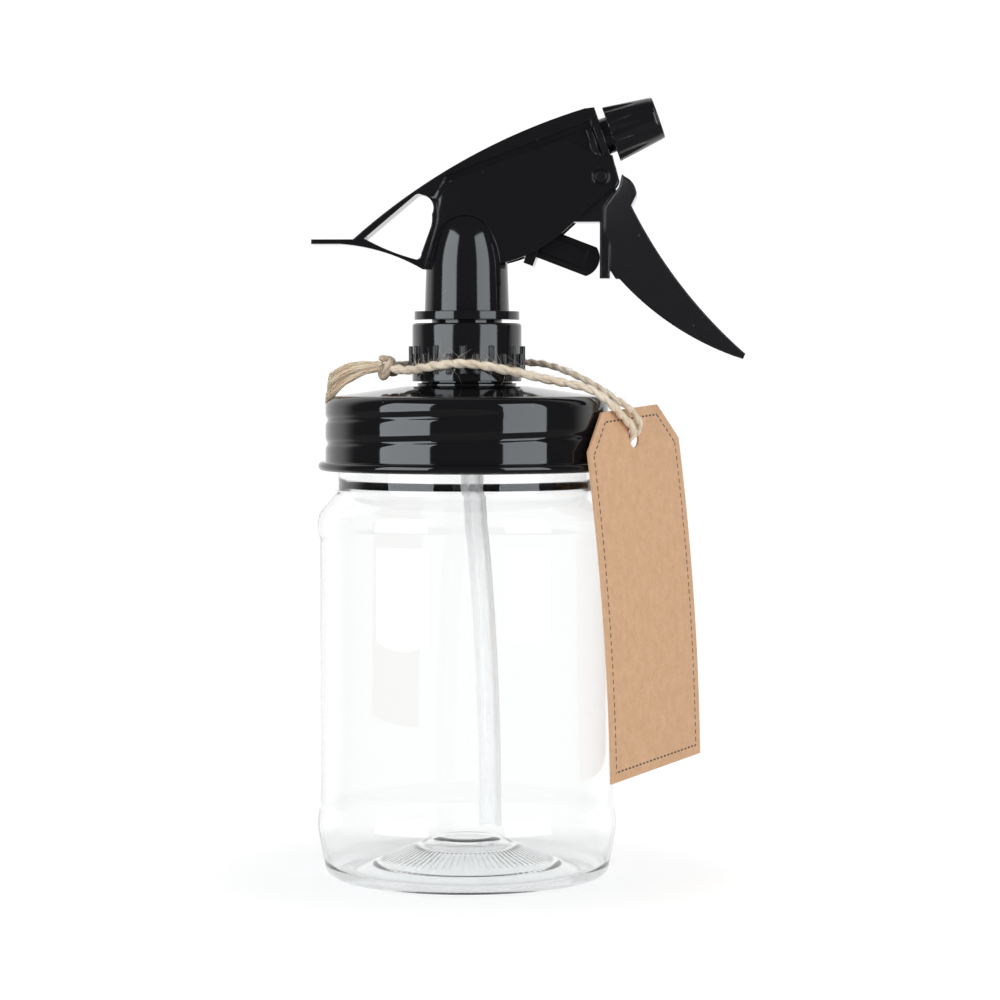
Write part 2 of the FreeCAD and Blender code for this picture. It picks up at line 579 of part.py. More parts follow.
def make_lid():
    """One-piece lid: rolled bead, skirt, top with a raised middle, and the spout."""
    liner_top = "lid_top - lid_wall"
    platform_inner = "platform_radius - lid_wall"
    skirt_inner = "skirt_radius - lid_wall"
    spout_bore = "spout_radius - spout_wall"
    body = turned("lid", [
        (spout_bore, "spout_top"),
        (spout_bore, "platform_top - lid_wall"),
        (platform_inner, "platform_top - lid_wall"),
        (platform_inner, liner_top),
        (skirt_inner, liner_top),
        (skirt_inner, "bead_bottom"),
        ("bead_radius", "bead_bottom"),
        ("bead_radius", "bead_bottom + bead_height"),
        ("skirt_radius", "bead_bottom + bead_height"),
        ("skirt_radius", "lid_top"),
        ("platform_radius", "lid_top"),
        ("platform_radius", "platform_top"),
        ("spout_foot", "platform_top"),
        ("spout_foot", "platform_top + spout_foot_rise"),
        ("spout_radius", "platform_top + spout_foot_rise"),
        ("spout_radius", "spout_top"),
    ])
    round_edges(body, "lid_round", [("0", "skirt_radius", "lid_top")])
    round_edges(body, "bead_height * 0.45", [("0", "bead_radius", "bead_bottom"),
                                             ("0", "bead_radius", "bead_bottom + bead_height")])
    round_edges(body, "platform_rise * 0.45", [("0", "platform_radius", "platform_top")])
    return subpart(body, "jar_lid")


def make_liner():
    outer = "skirt_radius - lid_wall - turning_gap"
    return ring("liner", "lid_liner", outer + " - liner_width", outer, "jar_rim", "liner_thickness")


# ---- screw collar ---------------------------------------------------------------------------------

def add_ribs(body, height, start_angle):
    """Grip ribs round the collar, each an upright pad with a round nose, in a polar pattern."""
    sketch = new_sketch(body, "XY_Plane")
    sketch.AttachmentOffset = FreeCAD.Placement(Vector(), FreeCAD.Rotation(Vector(0, 0, 1), start_angle))
    bind(sketch, "AttachmentOffset.Base.z", "collar_bottom + rib_bottom")
    root = "collar_radius - rib_root"
    nose = "collar_radius + rib_rise - rib_width / 2"
    draw_outline(sketch, [
        (root, "-rib_width / 2"),
        (nose, "-rib_width / 2"),
        (nose, "rib_width / 2", "rib_width * 0.501", LEFT),
        (root, "rib_width / 2"),
    ])
    pad = body.newObject("PartDesign::Pad", "rib")
    pad.Profile = sketch
    bind(pad, "Length", height)
    doc.recompute()
    pattern = body.newObject("PartDesign::PolarPattern", "ribs")
    pattern.Originals = [pad]
    axis = [item for item in body.Origin.OriginFeatures if item.Role == "Z_Axis"][0]
    pattern.Axis = (axis, [""])
    pattern.Angle = 360
    bind(pattern, "Occurrences", "rib_count")
    body.Tip = pattern
    doc.recompute()


def make_collar():
    """Screw collar: a cup with a lip at the top and twelve tall and twelve short ribs."""
    body = turned("collar", [
        ("stem_radius + turning_gap", "lip_bottom"),
        ("collar_inner", "lip_bottom"),
        ("collar_inner", "collar_bottom"),
        ("collar_radius", "collar_bottom"),
        ("collar_radius", "collar_top"),
        ("stem_radius + turning_gap", "collar_top"),
    ])
    round_edges(body, "collar_round", [("0", "collar_radius", "collar_top")])
    add_ribs(body, "tall_rib_height", 0)
    add_ribs(body, "short_rib_height", 180 / value("rib_count"))
    return subpart(body, "screw_collar")


def make_gasket():
    return ring("gasket", "collar_gasket", "spout_radius - spout_wall", "spout_radius - turning_gap",
                "spout_top", "gasket_thickness")


# ---- pump body ------------------------------------------------------------------------------------

def dome_outline(extra):
    """The outside of the domed neck from its flange to its top, grown by a clearance."""
    return [
        ("domed_neck_radius + " + extra, "flange_top"),
        ("domed_neck_radius - domed_neck_draft + " + extra, "dome_bottom"),
        ("dome_waist_radius + " + extra, "dome_waist", "dome_side_round + " + extra, LEFT),
        ("0", "dome_top + " + extra, "dome_top_round + " + extra, LEFT),
    ]


def make_neck():
    """Base disc, flange and domed neck, cored by a ring-shaped hollow open at the bottom."""
    disc_radius = "collar_inner - turning_gap"
    core_inner = "stem_bore + stem_wall"
    core_outer = "stem_radius - neck_skin"
    core_top = "base_disc + neck_core_height"
    return turned("neck", [
        ("0", "base_disc"),
        (core_inner, "base_disc"),
        (core_inner, core_top),
        (core_outer, core_top),
        (core_outer, "base_disc"),
        (disc_radius, "base_disc"),
        (disc_radius, "base_disc + base_disc_thickness"),
        ("stem_radius", "base_disc + base_disc_thickness"),
        ("stem_radius", "flange_bottom"),
        ("flange_radius", "flange_bottom"),
        ("flange_radius", "flange_top"),
    ] + dome_outline("0"))


def make_mouth_flange():
    """The upright flange round the pump's mouth."""
    mouth = doc.addObject("Part::Box", "mouth_flange")
    bind(mouth, "Length", "mouth_flange_height")
    bind(mouth, "Width", "2 * (pump_bore + pump_wall)")
    bind(mouth, "Height", "mouth_flange_thickness")
    back = "(pump_mouth - mouth_flange_thickness)"
    half = "mouth_flange_height / 2"
    put(mouth, x="%s * cos(pump_tilt) + %s * sin(pump_tilt)" % (back, half),
        y="-(pump_bore + pump_wall)",
        z="pump_height - %s * sin(pump_tilt) + %s * cos(pump_tilt)" % (back, half),
        axis=Vector(0, 1, 0), turn="90 + pump_tilt")
    return mouth


def make_pump_body():
    """Pump body: domed neck, riser, slanted pump cylinder, discharge tube and nose, all bored."""
    riser = cylinder("riser", "riser_radius", "axis_height - dome_waist")
    put(riser, z="dome_waist")
    pump = cylinder("pump", "pump_bore + pump_wall", "pump_mouth")
    put_on_pump_axis(pump, "0")
    tube = cylinder("discharge_tube", "discharge_radius", "shell_front + discharge_tail")
    put_on_spray_axis(tube, "-discharge_tail")
    nose_neck = cylinder("nose_neck", "nose_neck_radius", "nose_neck_length + front_ring_length")
    put_on_spray_axis(nose_neck, "shell_front - front_ring_length")
    nose = cylinder("nose", "nose_radius", "nose_length + nose_neck_length")
    put_on_spray_axis(nose, "shell_front")
    solid = fused("pump_body_solid", [make_neck(), riser, pump, tube, nose_neck, nose, make_mouth_flange()])

    stem = cylinder("stem_bore_cut", "stem_bore", "stem_bore_depth")
    put(stem, z="base_disc")
    cage = cylinder("cage_cut", "inlet_ball_radius + ball_room",
                    "2 * inlet_ball_radius + inlet_ball_lift + turning_gap")
    put(cage, z="retainer_top")
    port = cylinder("riser_cut", "riser_bore", "axis_height - retainer_top")
    put(port, z="retainer_top")
    chamber = cylinder("chamber_cut", "pump_bore", "pump_mouth")
    put_on_pump_axis(chamber, "pump_bore_start")
    back = cylinder("back_channel_cut", "outlet_port", "outlet_seat + discharge_tail - pump_wall")
    put_on_spray_axis(back, "pump_wall - discharge_tail")
    front = cylinder("discharge_cut", "discharge_bore", "nose_end")
    put_on_spray_axis(front, "outlet_seat")
    bores = fused("pump_body_bores", [stem, cage, port, chamber, back, front])
    return subpart(cut("pump_body", solid, bores), "pump_body")


# ---- valves, dip tube and springs -----------------------------------------------------------------

def make_retainer():
    """Tube retainer: holds the dip tube from below and carries the inlet ball's seat on top."""
    grip_top = "base_disc + dip_tube_grip"
    body = turned("retainer", [
        ("dip_tube_radius", "base_disc"),
        ("stem_bore", "base_disc"),
        ("stem_bore", "retainer_top"),
        ("seat_bore", "retainer_top"),
        ("seat_bore", grip_top),
        ("dip_tube_radius", grip_top),
    ])
    return subpart(body, "tube_retainer")


def make_ball(node, radius):
    ball = doc.addObject("Part::Sphere", node)
    bind(ball, "Radius", radius)
    return subpart(ball, node)


def make_balls():
    """The two valve balls on their seats."""
    inlet = make_ball("inlet_ball", "inlet_ball_radius")
    put(inlet, z="retainer_top + sqrt(inlet_ball_radius ^ 2 - seat_bore ^ 2) + ball_clearance")
    outlet = make_ball("outlet_ball", "outlet_ball_radius")
    put_on_spray_axis(outlet, "outlet_ball_at")


def make_dip_tube():
    """Dip tube: straight in its retainer, then two long gentle bends down to the jar's base."""
    top = value("base_disc + dip_tube_grip")
    bend_start = Vector(0, 0, value("base_disc - dip_tube_lead"))
    line = Part.LineSegment(Vector(0, 0, top), bend_start)

    def bend(start, heading, radius, angle, side):
        """An arc in the XZ plane that leaves start on its heading and turns towards a side."""
        centre = start + Vector(heading.z, 0, -heading.x) * radius * side
        spoke = start - centre

        def turned_spoke(degrees):
            return centre + FreeCAD.Rotation(Vector(0, 1, 0), degrees * side).multVec(spoke)

        end_heading = FreeCAD.Rotation(Vector(0, 1, 0), angle * side).multVec(heading)
        return Part.Arc(start, turned_spoke(angle / 2), turned_spoke(angle)), turned_spoke(angle), end_heading

    upper, knee, heading = bend(bend_start, Vector(0, 0, -1), value("dip_bow_round"),
                                value("dip_bow_angle"), -1)
    lower, foot, heading = bend(knee, heading, value("dip_back_round"), value("dip_back_angle"), 1)
    path = Part.Wire([line.toShape(), upper.toShape(), lower.toShape()])

    def swept(radius):
        circle = Part.Circle(Vector(0, 0, top), Vector(0, 0, 1), radius)
        return path.makePipeShell([Part.Wire(circle.toShape())], True, False)

    tube = doc.addObject("Part::Feature", "dip_tube")
    tube.Shape = swept(value("dip_tube_radius")).cut(swept(value("dip_tube_radius - dip_tube_wall")))
    tube.Placement = FreeCAD.Placement()
    return subpart(tube, "dip_tube")


def coil(name, mean_radius, wire, turns, length):
    """A coil spring of round wire along local +Z, its wire's section square to the helix."""
    pitch = (value(length) - value(wire)) / value(turns)
    helix = Part.makeHelix(pitch, pitch * value(turns), value(mean_radius))
    slope = math.atan2(pitch, 2 * math.pi * value(mean_radius))
    start_way = Vector(0, math.cos(slope), math.sin(slope))
    circle = Part.Circle(Vector(value(mean_radius), 0, 0), start_way, value(wire) / 2)
    spring = doc.addObject("Part::Feature", name)
    spring.Shape = Part.Wire(helix.Edges).makePipeShell([Part.Wire(circle.toShape())], True, True)
    return subpart(spring, name)


def make_springs():
    """The return spring behind the plunger and the light spring behind the outlet ball."""
    spring = coil("return_spring", "pump_bore - spring_room - spring_wire / 2", "spring_wire",
                  "spring_turns", "piston_front - pump_bore_start - turning_gap")
    put_on_pump_axis(spring, "pump_bore_start + spring_wire / 2 + turning_gap / 2")
    light = coil("outlet_spring", "outlet_spring_radius", "outlet_spring_wire",
                 "outlet_spring_turns", "outlet_spring_length")
    put_on_spray_axis(light, "outlet_spring_at")


# ---- swirl insert, nozzle and seal ----------------------------------------------------------------

def make_swirl_insert():
    """Swirl insert: a post of crossed ribs that fills the nose's bore to its end."""
    radius = "discharge_bore - swirl_gap"
    length = "nose_end - swirl_back"
    blades = []
    for number, turn in enumerate((0, 90)):
        blade = doc.addObject("Part::Box", "swirl_blade_%d" % number)
        bind(blade, "Length", "2 * (%s)" % radius)
        bind(blade, "Width", "swirl_rib")
        bind(blade, "Height", length)
        if turn:
            put(blade, x="swirl_rib / 2", y="-(%s)" % radius, axis=Vector(0, 0, 1), turn=str(turn))
        else:
            put(blade, x="-(%s)" % radius, y="-swirl_rib / 2")
        blades.append(blade)
    insert = common("swirl_insert", fused("swirl_cross", blades), cylinder("swirl_core", radius, length))
    put_on_spray_axis(insert, "swirl_back")
    return subpart(insert, "swirl_insert")


def make_nozzle():
    """Nozzle cap: a cone with a stepped bore, a spray hole and a dished front."""
    bore_end = "nozzle_length - nozzle_front_wall"
    mouth = "nose_neck_radius + turning_gap"
    body = turned("nozzle", [
        (mouth, "0"),
        ("nozzle_back_radius", "0"),
        ("nozzle_front_radius", "nozzle_length"),
        ("orifice_cone", "nozzle_length"),
        ("orifice_radius", "nozzle_length - orifice_dish"),
        ("orifice_radius", bore_end),
        ("nozzle_bore", bore_end),
        ("nozzle_bore", "nozzle_mouth_depth"),
        (mouth, "nozzle_mouth_depth"),
    ])
    round_edges(body, "nozzle_round", [("0", "nozzle_front_radius", "nozzle_length")])
    put_on_spray_axis(body, "nozzle_back")
    return subpart(body, "nozzle_cap")


def make_nozzle_seal():
    body = turned("seal", [
        ("nose_radius + seal_gap", "0"),
        ("nozzle_bore - seal_gap", "0"),
        ("nozzle_bore - seal_gap", "seal_width"),
        ("nose_radius + seal_gap", "seal_width"),
    ])
    put_on_spray_axis(body, "nozzle_back + nozzle_mouth_depth + seal_gap")
    return subpart(body, "nozzle_seal")


# ---- head shell -----------------------------------------------------------------------------------

def below_axis(drop):
    """A height that lies the given drop below the spray axis's root."""
    return "axis_height - (%s)" % drop


def make_beam():
    """The beam over the pump and the duckbill tail, under one long crest."""
    front_x = "shell_front * cos(spray_tilt) - beam_front_setback"
    return plate("beam", [
        ("-tail_length", below_axis("tail_drop")),
        ("-tail_flat_end", below_axis("tail_drop")),
        ("-tail_root", below_axis("tail_root_drop"), "tail_sweep_round", RIGHT),
        ("-rear_wall_front", below_axis("tail_root_drop")),
        ("-rear_wall_front", below_axis("pump_drop * 0.75")),
        ("pivot_x + 3.1", "pivot_z + 4"),
        (front_x, "axis_height + shell_front * sin(spray_tilt) + beam_front_rise"),
        (front_x + " - beam_chamfer", "axis_height + crest_front_rise"),
        ("-tail_crest_end", below_axis("tail_drop - tail_plate"), "crest_round", LEFT),
        ("-tail_length", below_axis("tail_drop - tail_plate")),
    ], "2 * beam_half")


def make_panels():
    """The flat side panels, with an ear round the trigger's pivot."""
    return plate("panel", [
        ("0.3 - tail_root", below_axis("tail_root_drop - shell_gap")),
        ("hull_low_reach", below_axis("hull_low_drop")),
        ("hull_front_reach", below_axis("hull_front_drop"), "hull_round", LEFT),
        ("pivot_x + 2", "pivot_z - ear_round"),
        ("pivot_x + 4.6", "pivot_z - 0.5", "ear_round", LEFT),
        ("pivot_x + 3.5", "pivot_z + 3.5"),
        ("pivot_x + 3", "pivot_z + 5.6"),
        ("pivot_x", "pivot_z + 5.1"),
        ("hull_front_reach", "axis_height + hull_top_rise"),
        ("-nape_reach", "axis_height + nape_rise"),
        ("-nape_back", below_axis("nape_drop")),
        ("-waist_back", below_axis("waist_drop"), "waist_round", RIGHT),
    ], "2 * panel_half")


def make_room():
    """The hollow between the side panels, open below and in front."""
    floor = below_axis("2 * tail_root_drop")
    back = "-(rear_wall_front + rear_wall)"
    return plate("panel_room", [
        (back, floor),
        ("2 * shell_front", floor),
        ("2 * shell_front", "pivot_z + 5.1 - roof_wall"),
        ("pivot_x", "pivot_z + 5.1 - roof_wall"),
        ("hull_front_reach", "axis_height + hull_top_rise - roof_wall"),
        ("rear_wall - nape_reach", "axis_height + nape_rise - roof_wall"),
        (back, below_axis("nape_drop + rear_wall")),
    ], "2 * (panel_half - panel_wall)")


def make_tube_slot():
    """The slot in the beam for the discharge tube, open below."""
    slot = doc.addObject("Part::Box", "tube_slot")
    bind(slot, "Length", "3 * discharge_radius")
    bind(slot, "Width", "2 * beam_slot_half")
    bind(slot, "Height", "shell_front - front_ring_length + discharge_tail + turning_gap")
    back = "(discharge_tail + turning_gap)"
    above = "(discharge_radius + shell_gap)"
    put(slot, x="-%s * cos(spray_tilt) - %s * sin(spray_tilt)" % (back, above),
        y="-beam_slot_half",
        z="axis_height - %s * sin(spray_tilt) + %s * cos(spray_tilt)" % (back, above),
        axis=Vector(0, 1, 0), turn="90 - spray_tilt")
    return slot


def make_window():
    """The window between the tail and the panels."""
    return plate("tail_window", [
        ("-window_tip", below_axis("window_tip_drop")),
        ("-window_root", below_axis("window_low_drop"), "window_sweep_round", LEFT),
        ("0.1 + window_corner * 0.857 - window_root", below_axis("window_low_drop - window_corner * 1.07"),
         "window_corner", LEFT),
        ("-window_front - 0.2", below_axis("window_front_drop")),
        ("-window_front", below_axis("window_front_drop - window_front_rise"), "window_front_round", LEFT),
        ("window_top_width - window_top", below_axis("window_top_drop - 0.2"), "window_top_round", LEFT),
        ("-window_top", below_axis("window_top_drop"), "window_top_width * 0.8", LEFT),
    ], "6 * panel_half")


def make_head_shell():
    """Head shell: crested beam, flat side panels, windowed duckbill tail, ring round the nose."""
    front = cylinder("front_ring", "front_ring_radius", "front_ring_length")
    put_on_spray_axis(front, "shell_front - front_ring_length")
    solid = fused("head_shell_solid", [make_beam(), make_panels(), front])
    nose_hole = cylinder("nose_hole", "nose_neck_radius + shell_gap", "2 * front_ring_length")
    put_on_spray_axis(nose_hole, "shell_front - front_ring_length - shell_gap")
    dome = turned("dome_cut", [("0", "flange_top")] + dome_outline("shell_gap"))
    pins = cross_pin("trunnion_holes", "trunnion_radius + trunnion_gap", "2 * panel_half",
                     "pivot_x", "pivot_z")
    cuts = fused("head_shell_cuts",
                 [make_room(), make_tube_slot(), nose_hole, dome, pins, make_window()])
    return subpart(cut("head_shell", solid, cuts), "head_shell")


# ---- trigger and plunger --------------------------------------------------------------------------

# Where the finger's flared sides are measured: shares of the finger's reach and drop, the climb of the
# section there in degrees, and the share of the taper from the finger's top to its tip.
FINGER_SECTIONS = [(0.245, -0.098, 4, 0), (0.279, 0.261, 24, 0), (0.548, 0.6, 37, 0.35),
                   (0.763, 0.804, 43, 0.7), (0.979, 0.98, 48, 1), (1.189, 1.141, 48, 1)]


def finger_sides(name, inset):
    """The space between the finger's flared sides: a loft of trapezoids across the finger."""
    body = new_body(name)
    sketches = []
    for reach, drop, climb, taper in FINGER_SECTIONS:
        sketch = new_sketch(body, "XY_Plane")
        sketch.AttachmentOffset = FreeCAD.Placement(Vector(), FreeCAD.Rotation(Vector(0, 1, 0), -climb))
        bind(sketch, "AttachmentOffset.Base.x", "pivot_x + %s * finger_reach" % reach)
        bind(sketch, "AttachmentOffset.Base.z", "pivot_z - %s * finger_drop" % drop)
        half = "finger_half - %s * (finger_half - finger_tip_half) - %s" % (taper, inset)
        rear = half + " - finger_back * finger_flare"
        front = half + " + finger_front * finger_flare"
        draw_outline(sketch, [("-finger_back", "-(%s)" % rear), ("finger_front", "-(%s)" % front),
                              ("finger_front", front), ("-finger_back", rear)])
        sketches.append(sketch)
    loft = body.newObject("PartDesign::AdditiveLoft", name + "_loft")
    loft.Profile = sketches[0]
    loft.Sections = sketches[1:]
    doc.recompute()
    return body


def make_trigger_block():
    """The web under the hub, the push face, and the rear arm over the plunger."""
    wall_front = "push_face + push_wall"
    return plate("trigger_block", [
        ("push_face", "pivot_z - foot_drop"),
        (wall_front, "pivot_z - foot_drop"),
        (wall_front, "pivot_z - arm_top_drop"),
        ("pivot_x + root_reach", "pivot_z - arm_top_drop * 0.8"),
        ("pivot_x + hub_half", "pivot_z"),
        ("pivot_x - hub_half", "pivot_z"),
        ("pivot_x - arm_reach", "pivot_z - arm_top_drop"),
        ("pivot_x - arm_reach", "pivot_z - arm_drop"),
        ("push_face", "pivot_z - arm_drop"),
    ], "2 * trigger_half")


def make_finger():
    """The finger, flared and hollowed from the rear."""
    inside = "push_face + push_wall * 0.46"
    wall_front = "push_face + push_wall"
    outline = plate("trigger_finger", [
        (inside, "pivot_z - foot_drop"),
        ("pivot_x + root_reach", "pivot_z - foot_drop"),
        ("pivot_x + finger_reach - finger_tip_width * 0.4", "pivot_z - finger_drop - finger_tip_width * 0.93",
         "finger_rear_round", LEFT),
        ("pivot_x + finger_reach", "pivot_z - finger_drop"),
        ("pivot_x + throat_reach", "pivot_z - throat_drop", "finger_front_round", RIGHT),
        ("pivot_x + lobe_reach", "pivot_z - lobe_drop"),
        ("pivot_x + lobe_reach - 3", "pivot_z - 0.1", "lobe_round", LEFT),
        ("pivot_x + lobe_reach - 3.8", "pivot_z + 0.6"),
        ("pivot_x + root_reach", "pivot_z - 2.7"),
        (inside, "pivot_z - throat_drop - 0.4"),
    ], "4 * finger_half")
    hollow = plate("trigger_hollow", [
        (wall_front, "pivot_z - foot_drop - 5"),
        ("pivot_x + finger_reach - 4.9", "pivot_z - finger_drop - 7.5"),
        ("pivot_x + finger_reach - 2.3", "pivot_z - finger_drop"),
        ("pivot_x + throat_reach - finger_wall - 0.9", "pivot_z - throat_drop - 2",
         "finger_front_round + finger_wall", RIGHT),
        (wall_front, "pivot_z - throat_drop - 2"),
    ], "4 * finger_half")
    skin = common("finger_skin", outline, finger_sides("finger_outside", "0"))
    space = common("finger_space", hollow, finger_sides("finger_inside", "finger_wall"))
    return cut("finger", skin, space)


def make_trigger():
    """Trigger: hub and push face between the panels, and the finger in front of them."""
    hub = cross_pin("trigger_hub", "hub_radius", "trigger_half", "pivot_x", "pivot_z")
    pins = cross_pin("trunnions", "trunnion_radius", "panel_half - panel_wall + trunnion_depth",
                     "pivot_x", "pivot_z")
    return subpart(fused("trigger", [hub, make_trigger_block(), make_finger(), pins]), "trigger")


def make_plunger():
    """Plunger: grooved piston, box-shaped rod with raised side panels, crowned end."""
    rod = plate("rod", [
        ("-rod_half", "piston_back"),
        ("rod_half", "piston_back"),
        ("rod_half", "rod_crown"),
        ("-rod_half", "rod_crown", "rod_nose", LEFT),
    ], "rod_width")
    middle = "(piston_back + rod_crown) / 2"
    round_edges(rod, "rod_round", [(up + "rod_half", side + "rod_width / 2", middle)
                                   for up in ("-", "") for side in ("-", "")])
    panels = plate("rod_panels", [
        ("-rod_panel_height / 2", "piston_back + rod_panel_back"),
        ("rod_panel_height / 2", "piston_back + rod_panel_back"),
        ("rod_panel_height / 2", "rod_crown - rod_panel_front"),
        ("-rod_panel_height / 2", "rod_crown - rod_panel_front"),
    ], "rod_width + 2 * rod_panel_rise")
    piston = turned("piston", [
        ("0", "piston_front"),
        ("piston_radius", "piston_front"),
        ("piston_radius", "groove_back"),
        ("groove_radius", "groove_back"),
        ("groove_radius", "groove_front"),
        ("piston_radius", "groove_front"),
        ("piston_radius", "piston_back"),
        ("0", "piston_back"),
    ])
    plunger = fused("plunger", [rod, panels, piston])
    put_on_pump_axis(plunger, "0")
    return subpart(plunger, "plunger")


def make_piston_seal():
    body = turned("piston_ring", [
        ("groove_radius", "groove_back"),
        ("pump_bore - ball_clearance", "groove_back"),
        ("pump_bore - ball_clearance", "groove_front"),
        ("groove_radius", "groove_front"),
    ])
    put_on_pump_axis(body, "0")
    return subpart(body, "piston_seal")


# ---- twine and tag --------------------------------------------------------------------------------

def tag_placement():
    """The card's place: origin at its middle, +X across the card, +Y up it, +Z out of its face."""
    facing = math.radians(value("tag_facing"))
    outward = Vector(math.cos(facing), math.sin(facing), 0)
    across = Vector(-math.sin(facing), math.cos(facing), 0)
    turn = FreeCAD.Matrix(across.x, 0, outward.x, 0,
                          across.y, 0, outward.y, 0,
                          across.z, 1, outward.z, 0)
    lean = FreeCAD.Rotation(Vector(1, 0, 0), value("tag_lean"))
    roll = FreeCAD.Rotation(Vector(0, 0, 1), value("tag_roll"))
    middle = outward * value("skirt_radius + tag_stand") + across * value("tag_sideways")
    middle.z = value("lid_top - tag_drop")
    return FreeCAD.Placement(middle, FreeCAD.Rotation(turn) * lean * roll)


def make_tag():
    """Card tag: a gently bowed sheet trimmed to its outline, with a hole at the top."""
    half, length = value("tag_width / 2"), value("tag_length")
    radius, thickness = value("tag_bow_round"), value("tag_thickness")
    outer = Part.makeCylinder(radius + thickness / 2, 2 * half, Vector(-half, 0, -radius), Vector(1, 0, 0))
    inner = Part.makeCylinder(radius - thickness / 2, 2 * half, Vector(-half, 0, -radius), Vector(1, 0, 0))
    across, down = value("tag_corner_across"), value("tag_corner_down")
    corners = [(-half, -length / 2), (half, -length / 2), (half, length / 2 - down),
               (half - across, length / 2), (across - half, length / 2), (-half, length / 2 - down)]
    wire = Part.makePolygon([Vector(x, y, -half) for x, y in corners + corners[:1]])
    prism = Part.Face(wire).extrude(Vector(0, 0, 2 * half))
    hole = Part.makeCylinder(value("tag_hole_radius"), 2 * half,
                             Vector(0, length / 2 - value("tag_hole_down"), -half), Vector(0, 0, 1))
    card = doc.addObject("Part::Feature", "hang_tag")
    card.Shape = prism.common(outer.cut(inner)).cut(hole)
    card.Placement = tag_placement()
    return subpart(card, "hang_tag")


# The twine's route: from the knot along the front of the collar to the tag, through its hole from the
# front, round behind it, and back along the rear. Heights are above the collar's lower edge. On the tag
# a point is given as the distance across the card from its middle line, down from its top edge, and out
# of the card's middle surface.
ROUTE_FRONT = [(-19.6, -5.8, 3.4), (-15.4, -9.6, 2.7), (-9.3, -14.9, 3.7), (-1.0, -17.6, 4.9),
               (8.0, -16.2, 3.7), (18.0, -14.9, 1.3), (27.0, -13.9, -0.5), (34.2, -12.9, -2.3)]
ROUTE_TAG = [(-11.2, -0.7, 2.1), (-7.2, 1.9, 1.9), (-3.9, 4.2, 2.05), (-1.5, 6.35, 1.55),
             (-1.35, 9.1, -1.6), (-2.45, 12.2, -2.3), (-2.5, 14.9, -2.4), (0, 16.4, -2.4),
             (2.5, 14.9, -2.4), (2.45, 12.2, -2.3), (1.35, 9.1, -1.6), (1.2, 6.3, 1.6),
             (-0.8, 3.3, 3.0), (-4.2, -0.2, 2.5)]
ROUTE_REAR = [(38.4, -7.6, -4.1), (33.8, -4.4, -0.9), (27.8, -0.4, 2.1), (20.8, 5.0, 4.5),
              (13.0, 11.4, 5.3), (5.7, 16.6, 5.1), (-3.2, 17.6, 4.9), (-11.5, 13.6, 4.7),
              (-16.6, 6.0, 4.3), (-18.7, 1.6, 4.2), (-19.9, -2.9, 3.9)]
KNOT_CENTRE = (-20.8, -4.7, 3.6)
TAIL_PATH = [(-22.6, -5.4, 4.0), (-27.6, -5.9, 3.5), (-31.8, -6.2, 2.2), (-35.6, -6.5, -0.1)]
TAIL_SPREAD = [0, 0.3, 0.7, 1]


def over_lid(point):
    """A point given with its height above the collar's lower edge, in the mister's frame."""
    x, y, rise = point
    return Vector(x, y, value("collar_bottom") + rise)


def on_tag(point):
    """A point given in the card's own terms, in the mister's frame."""
    across, down, out = point
    up = value("tag_length") / 2 - down
    bow = -up * up / (2 * value("tag_bow_round"))
    return tag_placement().multVec(Vector(across, up, out + bow))


def rounded_route(points):
    """Straight runs joined by tangent arcs, each as large as its two runs allow, and their radii."""
    pieces, radii = [], []
    start = points[0]
    for before, corner, after in zip(points, points[1:], points[2:]):
        back, ahead = before - corner, after - corner
        reach = 0.45 * min(back.Length, ahead.Length)
        back.normalize()
        ahead.normalize()
        half_turn = (math.pi - back.getAngle(ahead)) / 2
        radius = reach / math.tan(half_turn)
        inward = (back + ahead).normalize()
        middle = corner + inward * (radius / math.cos(half_turn) - radius)
        enter, leave = corner + back * reach, corner + ahead * reach
        pieces.append(Part.LineSegment(start, enter).toShape())
        pieces.append(Part.Arc(enter, middle, leave).toShape())
        radii.append(radius)
        start = leave
    pieces.append(Part.LineSegment(start, points[-1]).toShape())
    return Part.Wire(pieces), radii


def make_twine():
    """Jute twine: one round tube along the whole loop, from the knot and back to it."""
    points = [over_lid(point) for point in ROUTE_FRONT]
    points += [on_tag(point) for point in ROUTE_TAG]
    points += [over_lid(point) for point in ROUTE_REAR]
    path, radii = rounded_route(points)
    radius = value("twine_diameter / 2")
    section = Part.Circle(points[0], points[1] - points[0], radius)
    twine = doc.addObject("Part::Feature", "twine")
    twine.Shape = path.makePipeShell([Part.Wire(section.toShape())], True, False)
    twine.Placement = FreeCAD.Placement()
    print("twine radii", " ".join("%.1f" % radius for radius in radii))
    print("twine length %.1f, volume %.1f, section x length %.1f"
          % (path.Length, twine.Shape.Volume, math.pi * radius ** 2 * path.Length))
    return subpart(twine, "twine")


def make_knot(twine):
    """Overhand knot: one egg-shaped solid, hollowed where the twine runs into it."""
    size = FreeCAD.Matrix()
    size.scale(value("knot_width") / 2, value("knot_width") / 2, value("knot_height") / 2)
    size.move(over_lid(KNOT_CENTRE))
    knot = doc.addObject("Part::Feature", "twine_knot")
    knot.Shape = Part.makeSphere(1).transformGeometry(size).cut(twine.Shape)
    knot.Placement = FreeCAD.Placement()
    return subpart(knot, "twine_knot")


